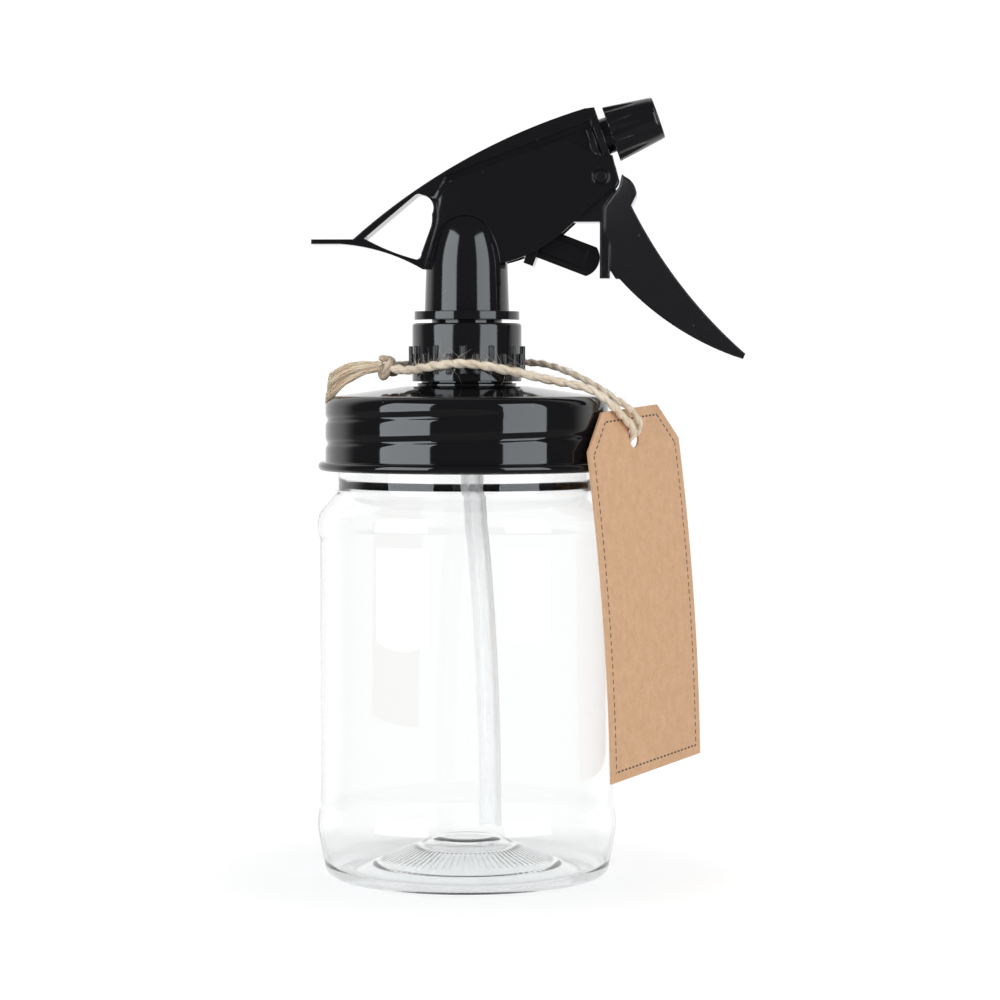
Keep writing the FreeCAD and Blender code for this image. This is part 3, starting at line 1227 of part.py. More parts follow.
def make_tails(knot):
    """Frayed tail of the twine: a flat fan that widens away from the knot."""
    places = [over_lid(point) for point in TAIL_PATH]
    heights = [value("fray_start + (fray_end - fray_start) * %s" % share) for share in TAIL_SPREAD]
    heading = (places[-1] - places[0]).normalize()
    side = heading.cross(Vector(0, 0, 1)).normalize()
    rise = side.cross(heading)
    sections = []
    for place, height in zip(places, heights):
        long, short = (rise, side) if height > value("fray_half_width") else (side, rise)
        wide = max(height, value("fray_half_width"))
        thin = min(height, value("fray_half_width"))
        ellipse = Part.Ellipse(place + long * wide, place + short * thin, place)
        sections.append(Part.Wire(ellipse.toShape()))
    tails = doc.addObject("Part::Feature", "twine_tails")
    tails.Shape = Part.makeLoft(sections, True).cut(knot.Shape)
    tails.Placement = FreeCAD.Placement()
    return subpart(tails, "twine_tails")


# ---- the whole mister -----------------------------------------------------------------------------

make_jar()
make_lid()
make_liner()
make_collar()
make_gasket()
make_pump_body()
make_retainer()
make_balls()
make_dip_tube()
make_springs()
make_swirl_insert()
make_nozzle()
make_nozzle_seal()
make_head_shell()
make_trigger()
make_plunger()
make_piston_seal()
make_tag()
make_tails(make_knot(make_twine()))
doc.recompute()

faults = [item.Label for item in doc.Objects if "Invalid" in item.State or "Error" in item.State]
faults += [item.Label for item in SUBPARTS if item.Shape.isNull() or not item.Shape.isValid()]
if faults:
    sys.exit("not built: " + ", ".join(faults))

os.makedirs("parts", exist_ok=True)
for item in SUBPARTS:
    item.Shape.exportStep("parts/%s.step" % item.Label)
    print(item.Label, "solids", len(item.Shape.Solids), "volume", round(item.Shape.Volume, 2))
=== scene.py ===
# A hand mister: a clear jar, a black screw lid, a black trigger sprayer, and a kraft tag on a jute twine.

import math

import bmesh
import bpy
import numpy as np
from mathutils import Matrix, Vector


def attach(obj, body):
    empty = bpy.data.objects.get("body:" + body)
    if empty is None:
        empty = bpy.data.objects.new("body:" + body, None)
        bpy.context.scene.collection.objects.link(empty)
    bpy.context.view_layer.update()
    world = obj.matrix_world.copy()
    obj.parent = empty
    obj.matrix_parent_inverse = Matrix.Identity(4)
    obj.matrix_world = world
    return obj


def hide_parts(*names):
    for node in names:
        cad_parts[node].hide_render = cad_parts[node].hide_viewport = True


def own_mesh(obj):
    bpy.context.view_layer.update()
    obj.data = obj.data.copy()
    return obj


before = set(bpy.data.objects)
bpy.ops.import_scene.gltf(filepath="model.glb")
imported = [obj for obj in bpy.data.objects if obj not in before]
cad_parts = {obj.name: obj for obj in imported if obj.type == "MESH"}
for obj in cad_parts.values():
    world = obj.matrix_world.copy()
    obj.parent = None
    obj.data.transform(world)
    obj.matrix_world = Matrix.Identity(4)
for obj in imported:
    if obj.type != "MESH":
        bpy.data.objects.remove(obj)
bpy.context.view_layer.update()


# ---- Studio ----------------------------------------------
# A white sweep with one tall soft box on each side of the camera. The dark room in front of the
# mister shows between the soft boxes in its gloss, and the white sweep shows round its edges.

CAMERA_AWAY, CAMERA_HEIGHT, CAMERA_SIDE = 0.855, 0.133, math.radians(4)
CAMERA_TURN, CAMERA_DIP = math.radians(-3.418247), math.radians(2.273009)


def placed(name, data):
    """A new object in the scene."""
    made = bpy.data.objects.new(name, data)
    bpy.context.scene.collection.objects.link(made)
    return made


camera = placed("camera", bpy.data.cameras.new("camera"))
bpy.context.scene.camera = camera
camera.data.lens = 117
camera.data.sensor_width = 36
camera.data.clip_start = 0.05
camera.data.clip_end = 20
camera.location = (CAMERA_AWAY * math.sin(CAMERA_SIDE), -CAMERA_AWAY * math.cos(CAMERA_SIDE), CAMERA_HEIGHT)
gaze = Vector((math.sin(CAMERA_TURN) * math.cos(CAMERA_DIP),
               math.cos(CAMERA_TURN) * math.cos(CAMERA_DIP), -math.sin(CAMERA_DIP)))
camera.rotation_euler = gaze.to_track_quat("-Z", "Y").to_euler()

bpy.context.scene.view_settings.view_transform = "Standard"


def node(tree, kind, settings=None, **inputs):
    """A node with its settings. Its sockets are filled by name, or by order as i0, i1 and so on, with numbers
    or with links from other sockets."""
    made = tree.nodes.new("ShaderNode" + kind)
    for key, setting in (settings or {}).items():
        setattr(made, key, setting)
    for key, given in inputs.items():
        by_order = key[0] == "i" and key[1:].isdigit()
        socket = made.inputs[int(key[1:]) if by_order else key.replace("_", " ")]
        if isinstance(given, bpy.types.NodeSocket):
            tree.links.new(given, socket)
        else:
            socket.default_value = given
    return made


def arithmetic(tree, operation, *values, **settings):
    """One step of arithmetic on sockets and numbers."""
    return node(tree, "Math", {"operation": operation, **settings},
                **{"i%d" % order: value for order, value in enumerate(values)}).outputs[0]


def place_of(tree, kind="Object"):
    """One kind of texture coordinate: where each point is, unless another kind is asked for."""
    return node(tree, "TexCoord").outputs[kind]


def ranged(tree, value, start, end, low, high, kind="LINEAR"):
    """A value carried from the range start to end over to the range low to high, and held at both ends."""
    return node(tree, "MapRange", {"interpolation_type": kind}, Value=value, From_Min=start, From_Max=end,
                To_Min=low, To_Max=high).outputs[0]


def shared(tree, share, low, high):
    """Low where the share is 0 and high where it is 1."""
    return node(tree, "Mix", {"data_type": "FLOAT"}, i0=share, i2=low, i3=high).outputs[0]


WHITE, ROOM_LEVEL, DARK_LEVEL = 1.05, 0.60, 0.08
FRONT_END, BEHIND_START = 0.12, 0.52


def light_room():
    """The world: white to the camera and through clear parts, soft grey on everything it lights, and in gloss
    a dark room in front that turns white behind the mister, by the y of the direction."""
    world = bpy.data.worlds.new("studio")
    bpy.context.scene.world = world
    world.use_nodes = True
    tree = world.node_tree
    tree.nodes.clear()
    path = node(tree, "LightPath").outputs
    sides = node(tree, "SeparateXYZ", i0=place_of(tree, "Generated"))
    behind = ranged(tree, sides.outputs["Y"], FRONT_END, BEHIND_START, DARK_LEVEL, 1.0, "SMOOTHSTEP")
    gloss = shared(tree, path["Is Glossy Ray"], ROOM_LEVEL, behind)
    seen = arithmetic(tree, "MAXIMUM", path["Is Camera Ray"], path["Is Transmission Ray"])
    glow = node(tree, "Background", Color=(1, 1, 1, 1), Strength=shared(tree, seen, gloss, WHITE))
    out = node(tree, "OutputWorld")
    tree.links.new(glow.outputs[0], out.inputs["Surface"])


light_room()


def soft_box(name, azimuth, distance, width, height, middle, soft_level, gloss_level):
    """A tall soft box that faces the jar's axis from one side of the camera. A brighter lamp shows in gloss,
    and one just behind it lights what is dull; a level is the brightness of the box's face."""
    turn = math.radians(azimuth)
    for part, level, back in (("_soft", soft_level, 0.04), ("_gloss", gloss_level, 0)):
        spot = Vector((math.sin(turn), -math.cos(turn), 0)) * (distance + back) + Vector((0, 0, middle))
        lamp = bpy.data.lights.new(name + part, "AREA")
        lamp.shape = "RECTANGLE"
        lamp.size = width
        lamp.size_y = height
        lamp.energy = level * math.pi * width * height
        lamp.color = (0.90, 0.96, 1.0) if part == "_gloss" else (1, 1, 1)
        box = placed(name + part, lamp)
        box.location = spot
        box.rotation_euler = (Vector((0, 0, middle)) - spot).to_track_quat("-Z", "Y").to_euler()
        box.visible_camera = False
        box.visible_transmission = False
        box.visible_glossy = part == "_gloss"
        box.visible_diffuse = part == "_soft"


soft_box("soft_box_left", azimuth=-47, distance=0.75, width=0.60, height=1.04, middle=0.33, soft_level=1.7,
         gloss_level=4.9)
soft_box("soft_box_right", azimuth=51, distance=0.80, width=0.54, height=1.04, middle=0.33, soft_level=1.9,
         gloss_level=4.2)


def painted(name, **inputs):
    """A material with one Principled shader; its sockets are filled by name."""
    material = bpy.data.materials.new(name)
    material.use_nodes = True
    tree = material.node_tree
    tree.nodes.clear()
    shader = node(tree, "BsdfPrincipled", **inputs)
    out = node(tree, "OutputMaterial")
    tree.links.new(shader.outputs[0], out.inputs["Surface"])
    return material, tree, shader, out


FLOOR_HALF, FOOT_RADIUS, OPEN_RADIUS = 3.0, 0.035, 0.10
FLOOR_LIFT, CLEAR_PAINTED_SHADE, FRONT_DIMMING = 0.22, 0.12, 0.90


def lay_floor():
    """A pale floor: lit card near the mister, a little lifted where it is seen, which keeps its soft shadow,
    and pure white further out. Seen through clear parts the lit card is lifted less: painted shade that greys
    the jar's base. Mirror gloss sees the open floor in front as dark as the room there, and white behind:
    what counts is the y of a point over its distance from the middle, as in the room."""
    mesh = bpy.data.meshes.new("floor")
    corners = [(FLOOR_HALF * x, FLOOR_HALF * y, 0) for x, y in ((-1, -1), (1, -1), (1, 1), (-1, 1))]
    mesh.from_pydata(corners, [], [(0, 1, 2, 3)])
    floor = placed("floor", mesh)
    material, tree, shader, out = painted("pale_floor", Base_Color=(0.90, 0.90, 0.90, 1), Roughness=0.9)

    def emission(level):
        return node(tree, "Emission", Color=(1, 1, 1, 1), Strength=level).outputs[0]

    path = node(tree, "LightPath").outputs
    through, gloss = path["Is Transmission Ray"], path["Is Glossy Ray"]
    seen = arithmetic(tree, "MAXIMUM", arithmetic(tree, "MAXIMUM", path["Is Camera Ray"], through), gloss)
    place = place_of(tree)
    away = node(tree, "VectorMath", {"operation": "LENGTH"}, i0=place).outputs["Value"]
    open_floor = ranged(tree, away, FOOT_RADIUS, OPEN_RADIUS, 0.0, 1.0, "SMOOTHSTEP")
    # Seen through clear parts the lift is smaller: painted shade on the floor that greys the jar's base.
    lift = arithmetic(tree, "MULTIPLY_ADD", through, -CLEAR_PAINTED_SHADE,
                      arithmetic(tree, "MULTIPLY", seen, FLOOR_LIFT))
    lit = node(tree, "AddShader", i0=shader.outputs[0], i1=emission(lift))
    white = node(tree, "MixShader", i0=arithmetic(tree, "MULTIPLY", seen, open_floor),
                 i1=lit.outputs[0], i2=emission(WHITE))
    depth = node(tree, "SeparateXYZ", i0=place).outputs["Y"]
    in_front = ranged(tree, arithmetic(tree, "DIVIDE", depth, away), FRONT_END, BEHIND_START,
                      FRONT_DIMMING, 0.0, "SMOOTHSTEP")
    mirrored = arithmetic(tree, "SUBTRACT", gloss, through, use_clamp=True)
    dimmed = arithmetic(tree, "MULTIPLY", mirrored, arithmetic(tree, "MULTIPLY", open_floor, in_front))
    finished = node(tree, "MixShader", i0=dimmed, i1=white.outputs[0], i2=emission(DARK_LEVEL))
    tree.links.new(finished.outputs[0], out.inputs["Surface"])
    mesh.materials.append(material)


lay_floor()


# ---- Twine -----------------------------------------------
# A loop of two-ply jute twine, spun from unbleached plant fibre. It lies round the foot of the screw
# collar, runs over the lid and through the tag's hole and back, and is tied at the left.


def corner_mesh(name, points, faces, uv=None):
    """A smooth mesh of four-cornered faces, turned outwards: where the volume that they enclose comes out
    negative, each face runs the other way. uv has a pair for each corner of each face."""
    points = np.asarray(points, float).reshape(-1, 3)
    first, second, third, fourth = (points[faces[:, corner]] for corner in range(4))
    if np.sum(first * np.cross(second - fourth, third)) < 0:
        faces = faces[:, ::-1]
        uv = None if uv is None else np.asarray(uv).reshape(-1, 4, 2)[:, ::-1]
    mesh = bpy.data.meshes.new(name)
    mesh.vertices.add(len(points))
    mesh.vertices.foreach_set("co", points.astype(np.float32).ravel())
    mesh.loops.add(faces.size)
    mesh.loops.foreach_set("vertex_index", faces.ravel().astype(np.int32))
    mesh.polygons.add(len(faces))
    mesh.polygons.foreach_set("loop_start", np.arange(0, faces.size, 4, dtype=np.int32))
    mesh.polygons.foreach_set("use_smooth", np.ones(len(faces), bool))
    if uv is not None:
        layer = mesh.uv_layers.new(name="along")
        layer.data.foreach_set("uv", np.asarray(uv, np.float32).ravel())
    mesh.update(calc_edges=True)
    return mesh


def end_faces(ring):
    """A ladder of four-cornered faces that closes a ring with an even number of points."""
    last = ring.shape[-1] - 1
    rungs = np.arange(last // 2)
    return np.stack([ring[..., rungs], ring[..., rungs + 1], ring[..., last - 1 - rungs],
                     ring[..., last - rungs]], -1).reshape(-1, 4)


def unit(ways):
    """Directions with the length 1."""
    return ways / np.linalg.norm(ways, axis=-1, keepdims=True)


def across_line(lines, aside):
    """Two unit directions across each point of a line: the line's direction crossed with a fixed direction
    aside, and the line's direction crossed with the first."""
    ahead = np.gradient(lines, axis=-2)
    across = np.cross(ahead, np.asarray(aside, float))
    up = np.cross(ahead, across)
    return unit(across), unit(up)


def cell_corners(grids):
    """The four corners of each cell of a stack of grids, in order round the cell."""
    return np.stack([grids[:, :-1, :-1], grids[:, 1:, :-1], grids[:, 1:, 1:], grids[:, :-1, 1:]], 3)


def tube_mesh(name, lines, radii, aside, sides=None):
    """Round tubes along many lines at once. A ring's points are the line's point plus the radius times the
    cosine of the turn along one direction across the line and its sine along the other. radii has one value
    for each line's point, or one for each point of its ring."""
    radii = np.asarray(radii, float)
    if radii.ndim == 2:
        radii = np.repeat(radii[..., None], sides, 2)
    sides = radii.shape[2]
    across, up = across_line(lines, aside)
    turn = np.linspace(0, 2 * np.pi, sides, endpoint=False)
    spoke = np.cos(turn)[:, None] * across[:, :, None] + np.sin(turn)[:, None] * up[:, :, None]
    skin = lines[:, :, None] + radii[..., None] * spoke
    index = np.arange(skin[..., 0].size).reshape(skin.shape[:3])
    walls = cell_corners(np.concatenate([index, index[:, :, :1]], 2))
    walked = np.cumsum(np.linalg.norm(np.diff(lines, axis=1, prepend=lines[:, :1]), axis=2), 1)
    along = np.repeat(walked[:, :, None], sides + 1, 2) * 100
    about = np.broadcast_to(np.linspace(0, 1, sides + 1), along.shape)
    along = along + 7.3 * np.arange(len(lines))[:, None, None]
    uv = cell_corners(np.stack([about, along], -1)).reshape(-1, 2)
    ends = np.concatenate([end_faces(index[:, 0, ::-1]), end_faces(index[:, -1])])
    uv = np.concatenate([uv, np.zeros((len(ends) * 4, 2))])
    return corner_mesh(name, skin, np.concatenate([walls.reshape(-1, 4), ends]), uv)


def line_points(name, route, count):
    """Points spaced evenly along the NURBS curve of order 3 that has the route as its control points."""
    curve = bpy.data.curves.new(name + "_line", "CURVE")
    curve.dimensions = "3D"
    curve.resolution_u = 24
    spline = curve.splines.new("NURBS")
    spline.points.add(len(route) - 1)
    spline.points.foreach_set("co", np.hstack([route, np.ones((len(route), 1))]).ravel())
    spline.order_u = 3
    spline.use_endpoint_u = True
    holder = bpy.data.objects.new(name + "_line", curve)
    mesh = bpy.data.meshes.new_from_object(holder)
    fine = np.empty(len(mesh.vertices) * 3)
    mesh.vertices.foreach_get("co", fine)
    fine = fine.reshape(-1, 3)
    bpy.data.meshes.remove(mesh)
    bpy.data.objects.remove(holder)
    bpy.data.curves.remove(curve)
    return evenly(fine, count)


def evenly(fine, count):
    """The points that divide a line of straight runs into equal lengths, and how far along it each is."""
    walked = np.concatenate([[0], np.cumsum(np.linalg.norm(np.diff(fine, axis=0), axis=1))])
    places = np.linspace(0, walked[-1], count)
    return np.stack([np.interp(places, walked, fine[:, axis]) for axis in range(3)], 1), places


def ply_lines(line, walked, offset, pitch, plies, aside):
    """The middle of each ply: the line plus the offset turned round it, once each pitch, and an equal share
    of a turn further for each ply."""
    across, up = across_line(line, aside)
    phase = 2 * np.pi * (walked / pitch + np.arange(plies)[:, None] / plies)
    return line + offset * (np.cos(phase)[..., None] * across + np.sin(phase)[..., None] * up)


def ply_radii(count, plies, sides, radius, rng):
    """The radius round each ply: slow swelling and thinning, and low ridges of fibre that wander round it."""
    knots = np.arange(0, count + 9, 9)
    swell = np.stack([np.interp(np.arange(count), knots, rng.uniform(0.86, 1.12, len(knots)))
                      for _ in range(plies)])
    turn = np.linspace(0, 2 * np.pi, sides, endpoint=False)
    wander = np.linspace(0, count / 14, count)[:, None]
    ridge = 1 + 0.05 * np.sin(5 * turn + wander) + 0.035 * np.sin(9 * turn - 1.7 * wander)
    rough = rng.normal(0, 0.018, (plies, count, sides))
    taper = np.clip(np.minimum(np.arange(count), np.arange(count)[::-1]) / 3, 0.15, 1) ** 0.5
    return radius * swell[..., None] * (ridge + rough) * taper[:, None]


def effect(name, inputs, outputs):
    """An empty shared effect: a shader node group with its inputs and outputs by name and kind."""
    tree = bpy.data.node_groups.new(name, "ShaderNodeTree")
    for way, sockets in (("INPUT", inputs), ("OUTPUT", outputs)):
        for label, kind in sockets.items():
            tree.interface.new_socket(name=label, in_out=way, socket_type="NodeSocket" + kind)
    return tree, tree.nodes.new("NodeGroupInput").outputs, tree.nodes.new("NodeGroupOutput").inputs


def fibre_effect():
    """Plant fibre: streaks of noise stretched along the second axis, with blotches; Shade is their sum and
    Height the streaks."""
    tree, given, result = effect("plant_fibre", {"Streak Vector": "Vector", "Blotch Vector": "Vector",
                                                 "Streak Scale": "Float", "Blotch Scale": "Float"},
                                 {"Shade": "Float", "Height": "Float"})
    streaks = node(tree, "TexNoise", Vector=given["Streak Vector"], Scale=given["Streak Scale"],
                   Detail=5.0, Roughness=0.7)
    blotch = node(tree, "TexNoise", Vector=given["Blotch Vector"], Scale=given["Blotch Scale"], Detail=2.0)
    both = arithmetic(tree, "MULTIPLY_ADD", blotch.outputs[0], 0.45,
                      arithmetic(tree, "MULTIPLY", streaks.outputs[0], 0.65))
    tree.links.new(both, result["Shade"])
    tree.links.new(streaks.outputs[0], result["Height"])
    return tree


def between(tree, amount, low, high, start=0.0, end=1.0):
    """A colour ramp with two stops."""
    ramp = node(tree, "ValToRGB", Fac=amount)
    ramp.color_ramp.elements[0].position = start
    ramp.color_ramp.elements[0].color = (*low, 1)
    ramp.color_ramp.elements[1].position = end
    ramp.color_ramp.elements[1].color = (*high, 1)
    return ramp.outputs[0]


def bumped(tree, shader, strength, depth, height, **given):
    """Turns the shader's normal by the slopes of a height, which is as deep as the depth."""
    bump = node(tree, "Bump", Strength=strength, Distance=depth, Height=height, **given)
    tree.links.new(bump.outputs[0], shader.inputs["Normal"])


plant_fibre = fibre_effect()


def jute_material(name, dark, light, streak_scale):
    """Unbleached jute: streaks along the ply, darker and lighter patches, and a soft sheen."""
    material, tree, shader, _ = painted(name, Roughness=0.85, Sheen_Weight=0.3, Sheen_Roughness=0.5)
    run = node(tree, "Mapping", Vector=place_of(tree, "UV"), Scale=(9, 1.6, 1))
    fibre = node(tree, "Group", {"node_tree": plant_fibre}, Streak_Vector=run.outputs[0],
                 Blotch_Vector=place_of(tree), Streak_Scale=streak_scale, Blotch_Scale=240.0).outputs
    tree.links.new(between(tree, fibre["Shade"], dark, light, 0.38, 0.68), shader.inputs["Base Color"])
    bumped(tree, shader, 0.7, 0.0002, fibre["Height"])
    return material


def piece(name, mesh, material, body, *nodes, slot=None):
    """A finished piece in its place: it rides on a body and stands for the CAD nodes that it is given."""
    made = placed(name, mesh)
    mesh.materials.append(material)
    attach(made, body)
    if nodes:
        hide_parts(*nodes)
    return made


TWINE_POINTS, PLIES, PLY_SIDES = 900, 2, 14
TWINE_SPREAD, TWINE_PITCH, TWINE_PLY_RADIUS = 0.00036, 0.0078, 0.00084
TWINE_ASIDE = (0.62, 0.55, 0.56)

jute = jute_material("jute", (0.66, 0.50, 0.35), (0.97, 0.88, 0.72), 2.6)
twine_route = np.array([
    (-19.6, -5.8, 133.7), (-15.4, -9.6, 133.0), (-9.3, -14.9, 134.0), (-1.0, -17.6, 135.2),
    (8.0, -16.2, 134.0), (18.0, -14.9, 131.6), (27.0, -13.9, 129.8), (34.2, -12.9, 128.0),
    (39.4, -11.2, 123.4), (41.3, -7.5, 121.0), (43.2, -4.6, 118.9), (44.2, -2.3, 116.9),
    (41.8, -0.7, 114.0), (41.0, -1.4, 110.8), (41.2, -1.4, 108.1), (42.5, 0.9, 106.8),
    (43.0, 3.1, 108.4), (42.0, 2.7, 111.3), (41.9, 1.9, 114.9), (45.3, 0.1, 117.3),
    (45.4, -2.3, 120.0), (42.9, -5.1, 123.3), (38.4, -7.6, 126.2), (33.8, -4.4, 129.4),
    (27.8, -0.4, 132.4), (20.8, 5.0, 134.8), (13.0, 11.4, 135.6), (5.7, 16.6, 135.4),
    (-3.2, 17.6, 135.2), (-11.5, 13.6, 135.0), (-16.6, 6.0, 134.6), (-18.7, 1.6, 134.5),
    (-19.9, -2.9, 134.2)]) / 1000
twine_line, twine_walked = line_points("twine", twine_route, TWINE_POINTS)
# The twine is spun tighter, so thinner, towards the tag and along the back.
twine_slack = np.interp(np.linspace(0, 1, TWINE_POINTS), (0, 0.20, 0.36, 0.50, 0.75, 1),
                        (1.04, 1.04, 0.88, 0.80, 0.78, 0.95))[:, None]
twine_plies = ply_lines(twine_line, twine_walked, TWINE_SPREAD * twine_slack, TWINE_PITCH, PLIES, TWINE_ASIDE)
twine_radii = twine_slack * ply_radii(TWINE_POINTS, PLIES, PLY_SIDES, TWINE_PLY_RADIUS,
                                      np.random.default_rng(11))
twine = piece("twine_cord", tube_mesh("twine", twine_plies, twine_radii, TWINE_ASIDE), jute, "lid", "twine",
              slot="jute")


# ---- Loose fibres ----------------------------------------
# The hairs that stand out of spun jute: short single fibres, rooted in the twine and bent at random,
# and closest together where the twine rubs on the screw collar.

HAIR_POINTS, ROOT_OUT, HAIR_CURL = 7, 0.0007, 0.45
COLLAR_FRONT, COLLAR_RIGHT, LID_CLEAR_HEIGHT = -0.009, 0.022, 0.1305


def stray_lines(roots, ways, lengths, curl, points, rng):
    """Single fibres. Each starts at its root and goes its way for its length, and bends off sideways with the
    square of the distance gone, with a slow wave on top."""
    share = np.linspace(0, 1, points)
    bend = rng.normal(0, 1, (len(roots), 3)) * curl
    wave = rng.normal(0, 0.12, (len(roots), 3))
    gone = lengths[:, None, None] * share[None, :, None]
    return (roots[:, None] + ways[:, None] * gone + bend[:, None] * gone * share[None, :, None]
            + wave[:, None] * lengths[:, None, None] * np.sin(3 * np.pi * share)[None, :, None] * 0.35)


def twine_hairs(count, shortest, longest, thickest, favour, rng):
    """Hairs along the twine. A point on the front run by the collar is picked more often, by the favour.
    Hairs that start low, near the lid, grow upwards, and half of the others hang a little."""
    by_collar = (twine_line[:, 1] < COLLAR_FRONT) & (twine_line[:, 0] < COLLAR_RIGHT)
    weight = np.where(by_collar, favour, 1.0)
    picked = rng.choice(len(twine_line), count, p=weight / weight.sum())
    roots = twine_line[picked]
    ahead = unit(np.gradient(twine_line, axis=0)[picked])
    out = rng.normal(0, 1, (count, 3))
    out = unit(out - ahead * np.einsum("ij,ij->i", out, ahead)[:, None])
    hanging = np.where(rng.random(count) < 0.5, 1, -0.4)
    out[:, 2] = np.abs(out[:, 2]) * np.where(roots[:, 2] < LID_CLEAR_HEIGHT, 1, hanging)
    ways = unit(out * rng.uniform(0.35, 1.0, (count, 1)) + ahead * rng.uniform(-1.0, 1.0, (count, 1)))
    lengths = rng.uniform(shortest, longest, count)
    lines = stray_lines(roots + out * ROOT_OUT, ways, lengths, HAIR_CURL, HAIR_POINTS, rng)
    thin = np.clip(1 - np.linspace(0, 1, HAIR_POINTS) ** 2, 0.25, 1)
    return lines, rng.uniform(0.6, 1.0, count)[:, None] * thickest * thin


long_lines, long_radii = twine_hairs(230, 0.0014, 0.0042, 0.00005, 8.0, np.random.default_rng(5))
fuzz_lines, fuzz_radii = twine_hairs(1300, 0.0006, 0.0017, 0.000036, 2.5, np.random.default_rng(6))
hair = jute_material("jute_hair", (0.55, 0.43, 0.30), (0.95, 0.85, 0.70), 2.0)
hairs = piece("twine_hairs", tube_mesh("twine_hairs", np.concatenate([long_lines, fuzz_lines]),
                                       np.concatenate([long_radii, fuzz_radii]), (0.2, 0.3, 0.93), 4),
              hair, "lid", slot="jute")


# ---- Knot ------------------------------------------------
# An overhand knot that ties both ends of the loop at the left. The same two-ply jute is pulled tight by
# hand, so it is a little thinner there than along the loop, and its colour is darker.

KNOT_MIDDLE, KNOT_HEADING, KNOT_ASIDE = (-0.0208, -0.0047, 0.1339), (-1.0, 0.12, -0.34), (0.93, 0.21, 0.30)
KNOT_RING, KNOT_SWING, KNOT_SQUEEZE, KNOT_POINTS = 0.00140, 0.00108, 1.55, 240
KNOT_SPREAD, KNOT_PITCH, KNOT_PLY_RADIUS = 0.00040, 0.0080, 0.00076


def knot_line(middle, heading, ring, swing, squeeze, count):
    """The strand of an overhand knot: it goes twice round a ring, which stands across the twine, while it
    swings three times through it. Along the twine it swings further than across it, by the squeeze."""
    heading = unit(np.asarray(heading, float))
    level = unit(np.cross((0, 0, 1.0), heading))
    rise = np.cross(heading, level)
    turn = np.linspace(0.35, 2 * np.pi + 0.15, count)
    reach = ring + swing * np.cos(3 * turn)
    return (np.asarray(middle) + reach[:, None] * (np.cos(2 * turn)[:, None] * rise
                                                  + 0.86 * np.sin(2 * turn)[:, None] * level)
            + squeeze * swing * np.sin(3 * turn)[:, None] * heading)


knot_fine = knot_line(KNOT_MIDDLE, KNOT_HEADING, KNOT_RING, KNOT_SWING, KNOT_SQUEEZE, KNOT_POINTS)
knot_strand, knot_walked = evenly(knot_fine, KNOT_POINTS)
knot_plies = ply_lines(knot_strand, knot_walked, KNOT_SPREAD, KNOT_PITCH, PLIES, KNOT_ASIDE)
knot_radii = ply_radii(KNOT_POINTS, PLIES, PLY_SIDES, KNOT_PLY_RADIUS, np.random.default_rng(3))
knot_jute = jute_material("knot_jute", (0.36, 0.26, 0.18), (0.84, 0.70, 0.53), 2.6)
knot = piece("twine_overhand", tube_mesh("twine_overhand", knot_plies, knot_radii, KNOT_ASIDE), knot_jute,
             "lid", "twine_knot", slot="jute")


# ---- Frayed tail -----------------------------------------
# The twine's two ends past the knot, unspun into a flat fan of locks that was cut off with scissors. The
# loose fibres are painted paler and more orange than the loop, partly as loose jute is, and partly as painted
# light that lifts the tail out of its shade.

TAIL_ROUTE = np.array([(-21.8, -5.2, 134.3), (-24.8, -5.7, 134.1), (-27.6, -5.9, 133.6), (-31.8, -6.2, 132.1),
                       (-36.2, -6.5, 129.6)]) / 1000
tail_line, tail_walked = line_points("tail", TAIL_ROUTE, 22)


def tail_fibres(locks, each, rng):
    """Fibres in locks. A lock keeps its place in the bundle, up or down and near or far, and the bundle opens
    from its root to its end; each fibre lies beside its lock and wanders a little more towards its tip."""
    count = locks * each
    lock = np.repeat(np.arange(locks), each)
    height = np.linspace(-1, 1, locks)[rng.permutation(locks)][lock] + rng.normal(0, 0.09, count)
    depth = rng.uniform(-1, 1, locks)[lock] + rng.normal(0, 0.25, count)
    share = tail_walked / tail_walked[-1]
    opening = 0.00105 + 0.0026 * share ** 1.5
    thickness = 0.0009 + 0.0004 * share
    slow, slow_start = rng.uniform(5, 11, locks)[lock][:, None], rng.uniform(0, 6, locks)[lock][:, None]
    quick, quick_start = rng.uniform(8, 17, (count, 1)), rng.uniform(0, 6, (count, 1))
    wave = 0.00022 * np.sin(share * slow + slow_start) + 0.00010 * np.sin(share * quick + quick_start)
    droop = -0.0011 * share ** 3
    reach = np.clip(1 + 0.05 * rng.normal(0, 1, locks)[lock] + rng.normal(0, 0.02, count), 0.8, 1.07)
    place = share[None, :] * reach[:, None]
    lines = np.stack([np.interp(place, share, tail_line[:, axis]) for axis in range(3)], 2)
    lines[..., 2] += height[:, None] * opening + wave + droop
    lines[..., 1] += depth[:, None] * thickness + 0.6 * wave[::-1]
    lines[..., 0] += 0.00056 * height[:, None] * share
    radii = rng.uniform(0.000065, 0.00012, count)[:, None] * np.clip(1.25 - share ** 3, 0.3, 1)
    return lines, radii


tail_lines, tail_radii = tail_fibres(34, 22, np.random.default_rng(17))
# A paler, more orange copy of the jute: partly loose fibre, partly painted light on the shaded tail.
tail_jute_lit = jute_material("tail_jute_lit", (0.88, 0.64, 0.42), (1.0, 0.90, 0.70), 1.6)
tail = piece("twine_tail", tube_mesh("twine_tail", tail_lines, tail_radii, (0.1, 0.99, 0.1), 4), tail_jute_lit,
             "lid", "twine_tails", slot="jute")


# ---- Jar -------------------------------------------------
# A mason-style jar, blow moulded in clear PET with thin walls, a rounded shoulder, and a base pushed up
# in the middle, with low ribs and two rings moulded under it.


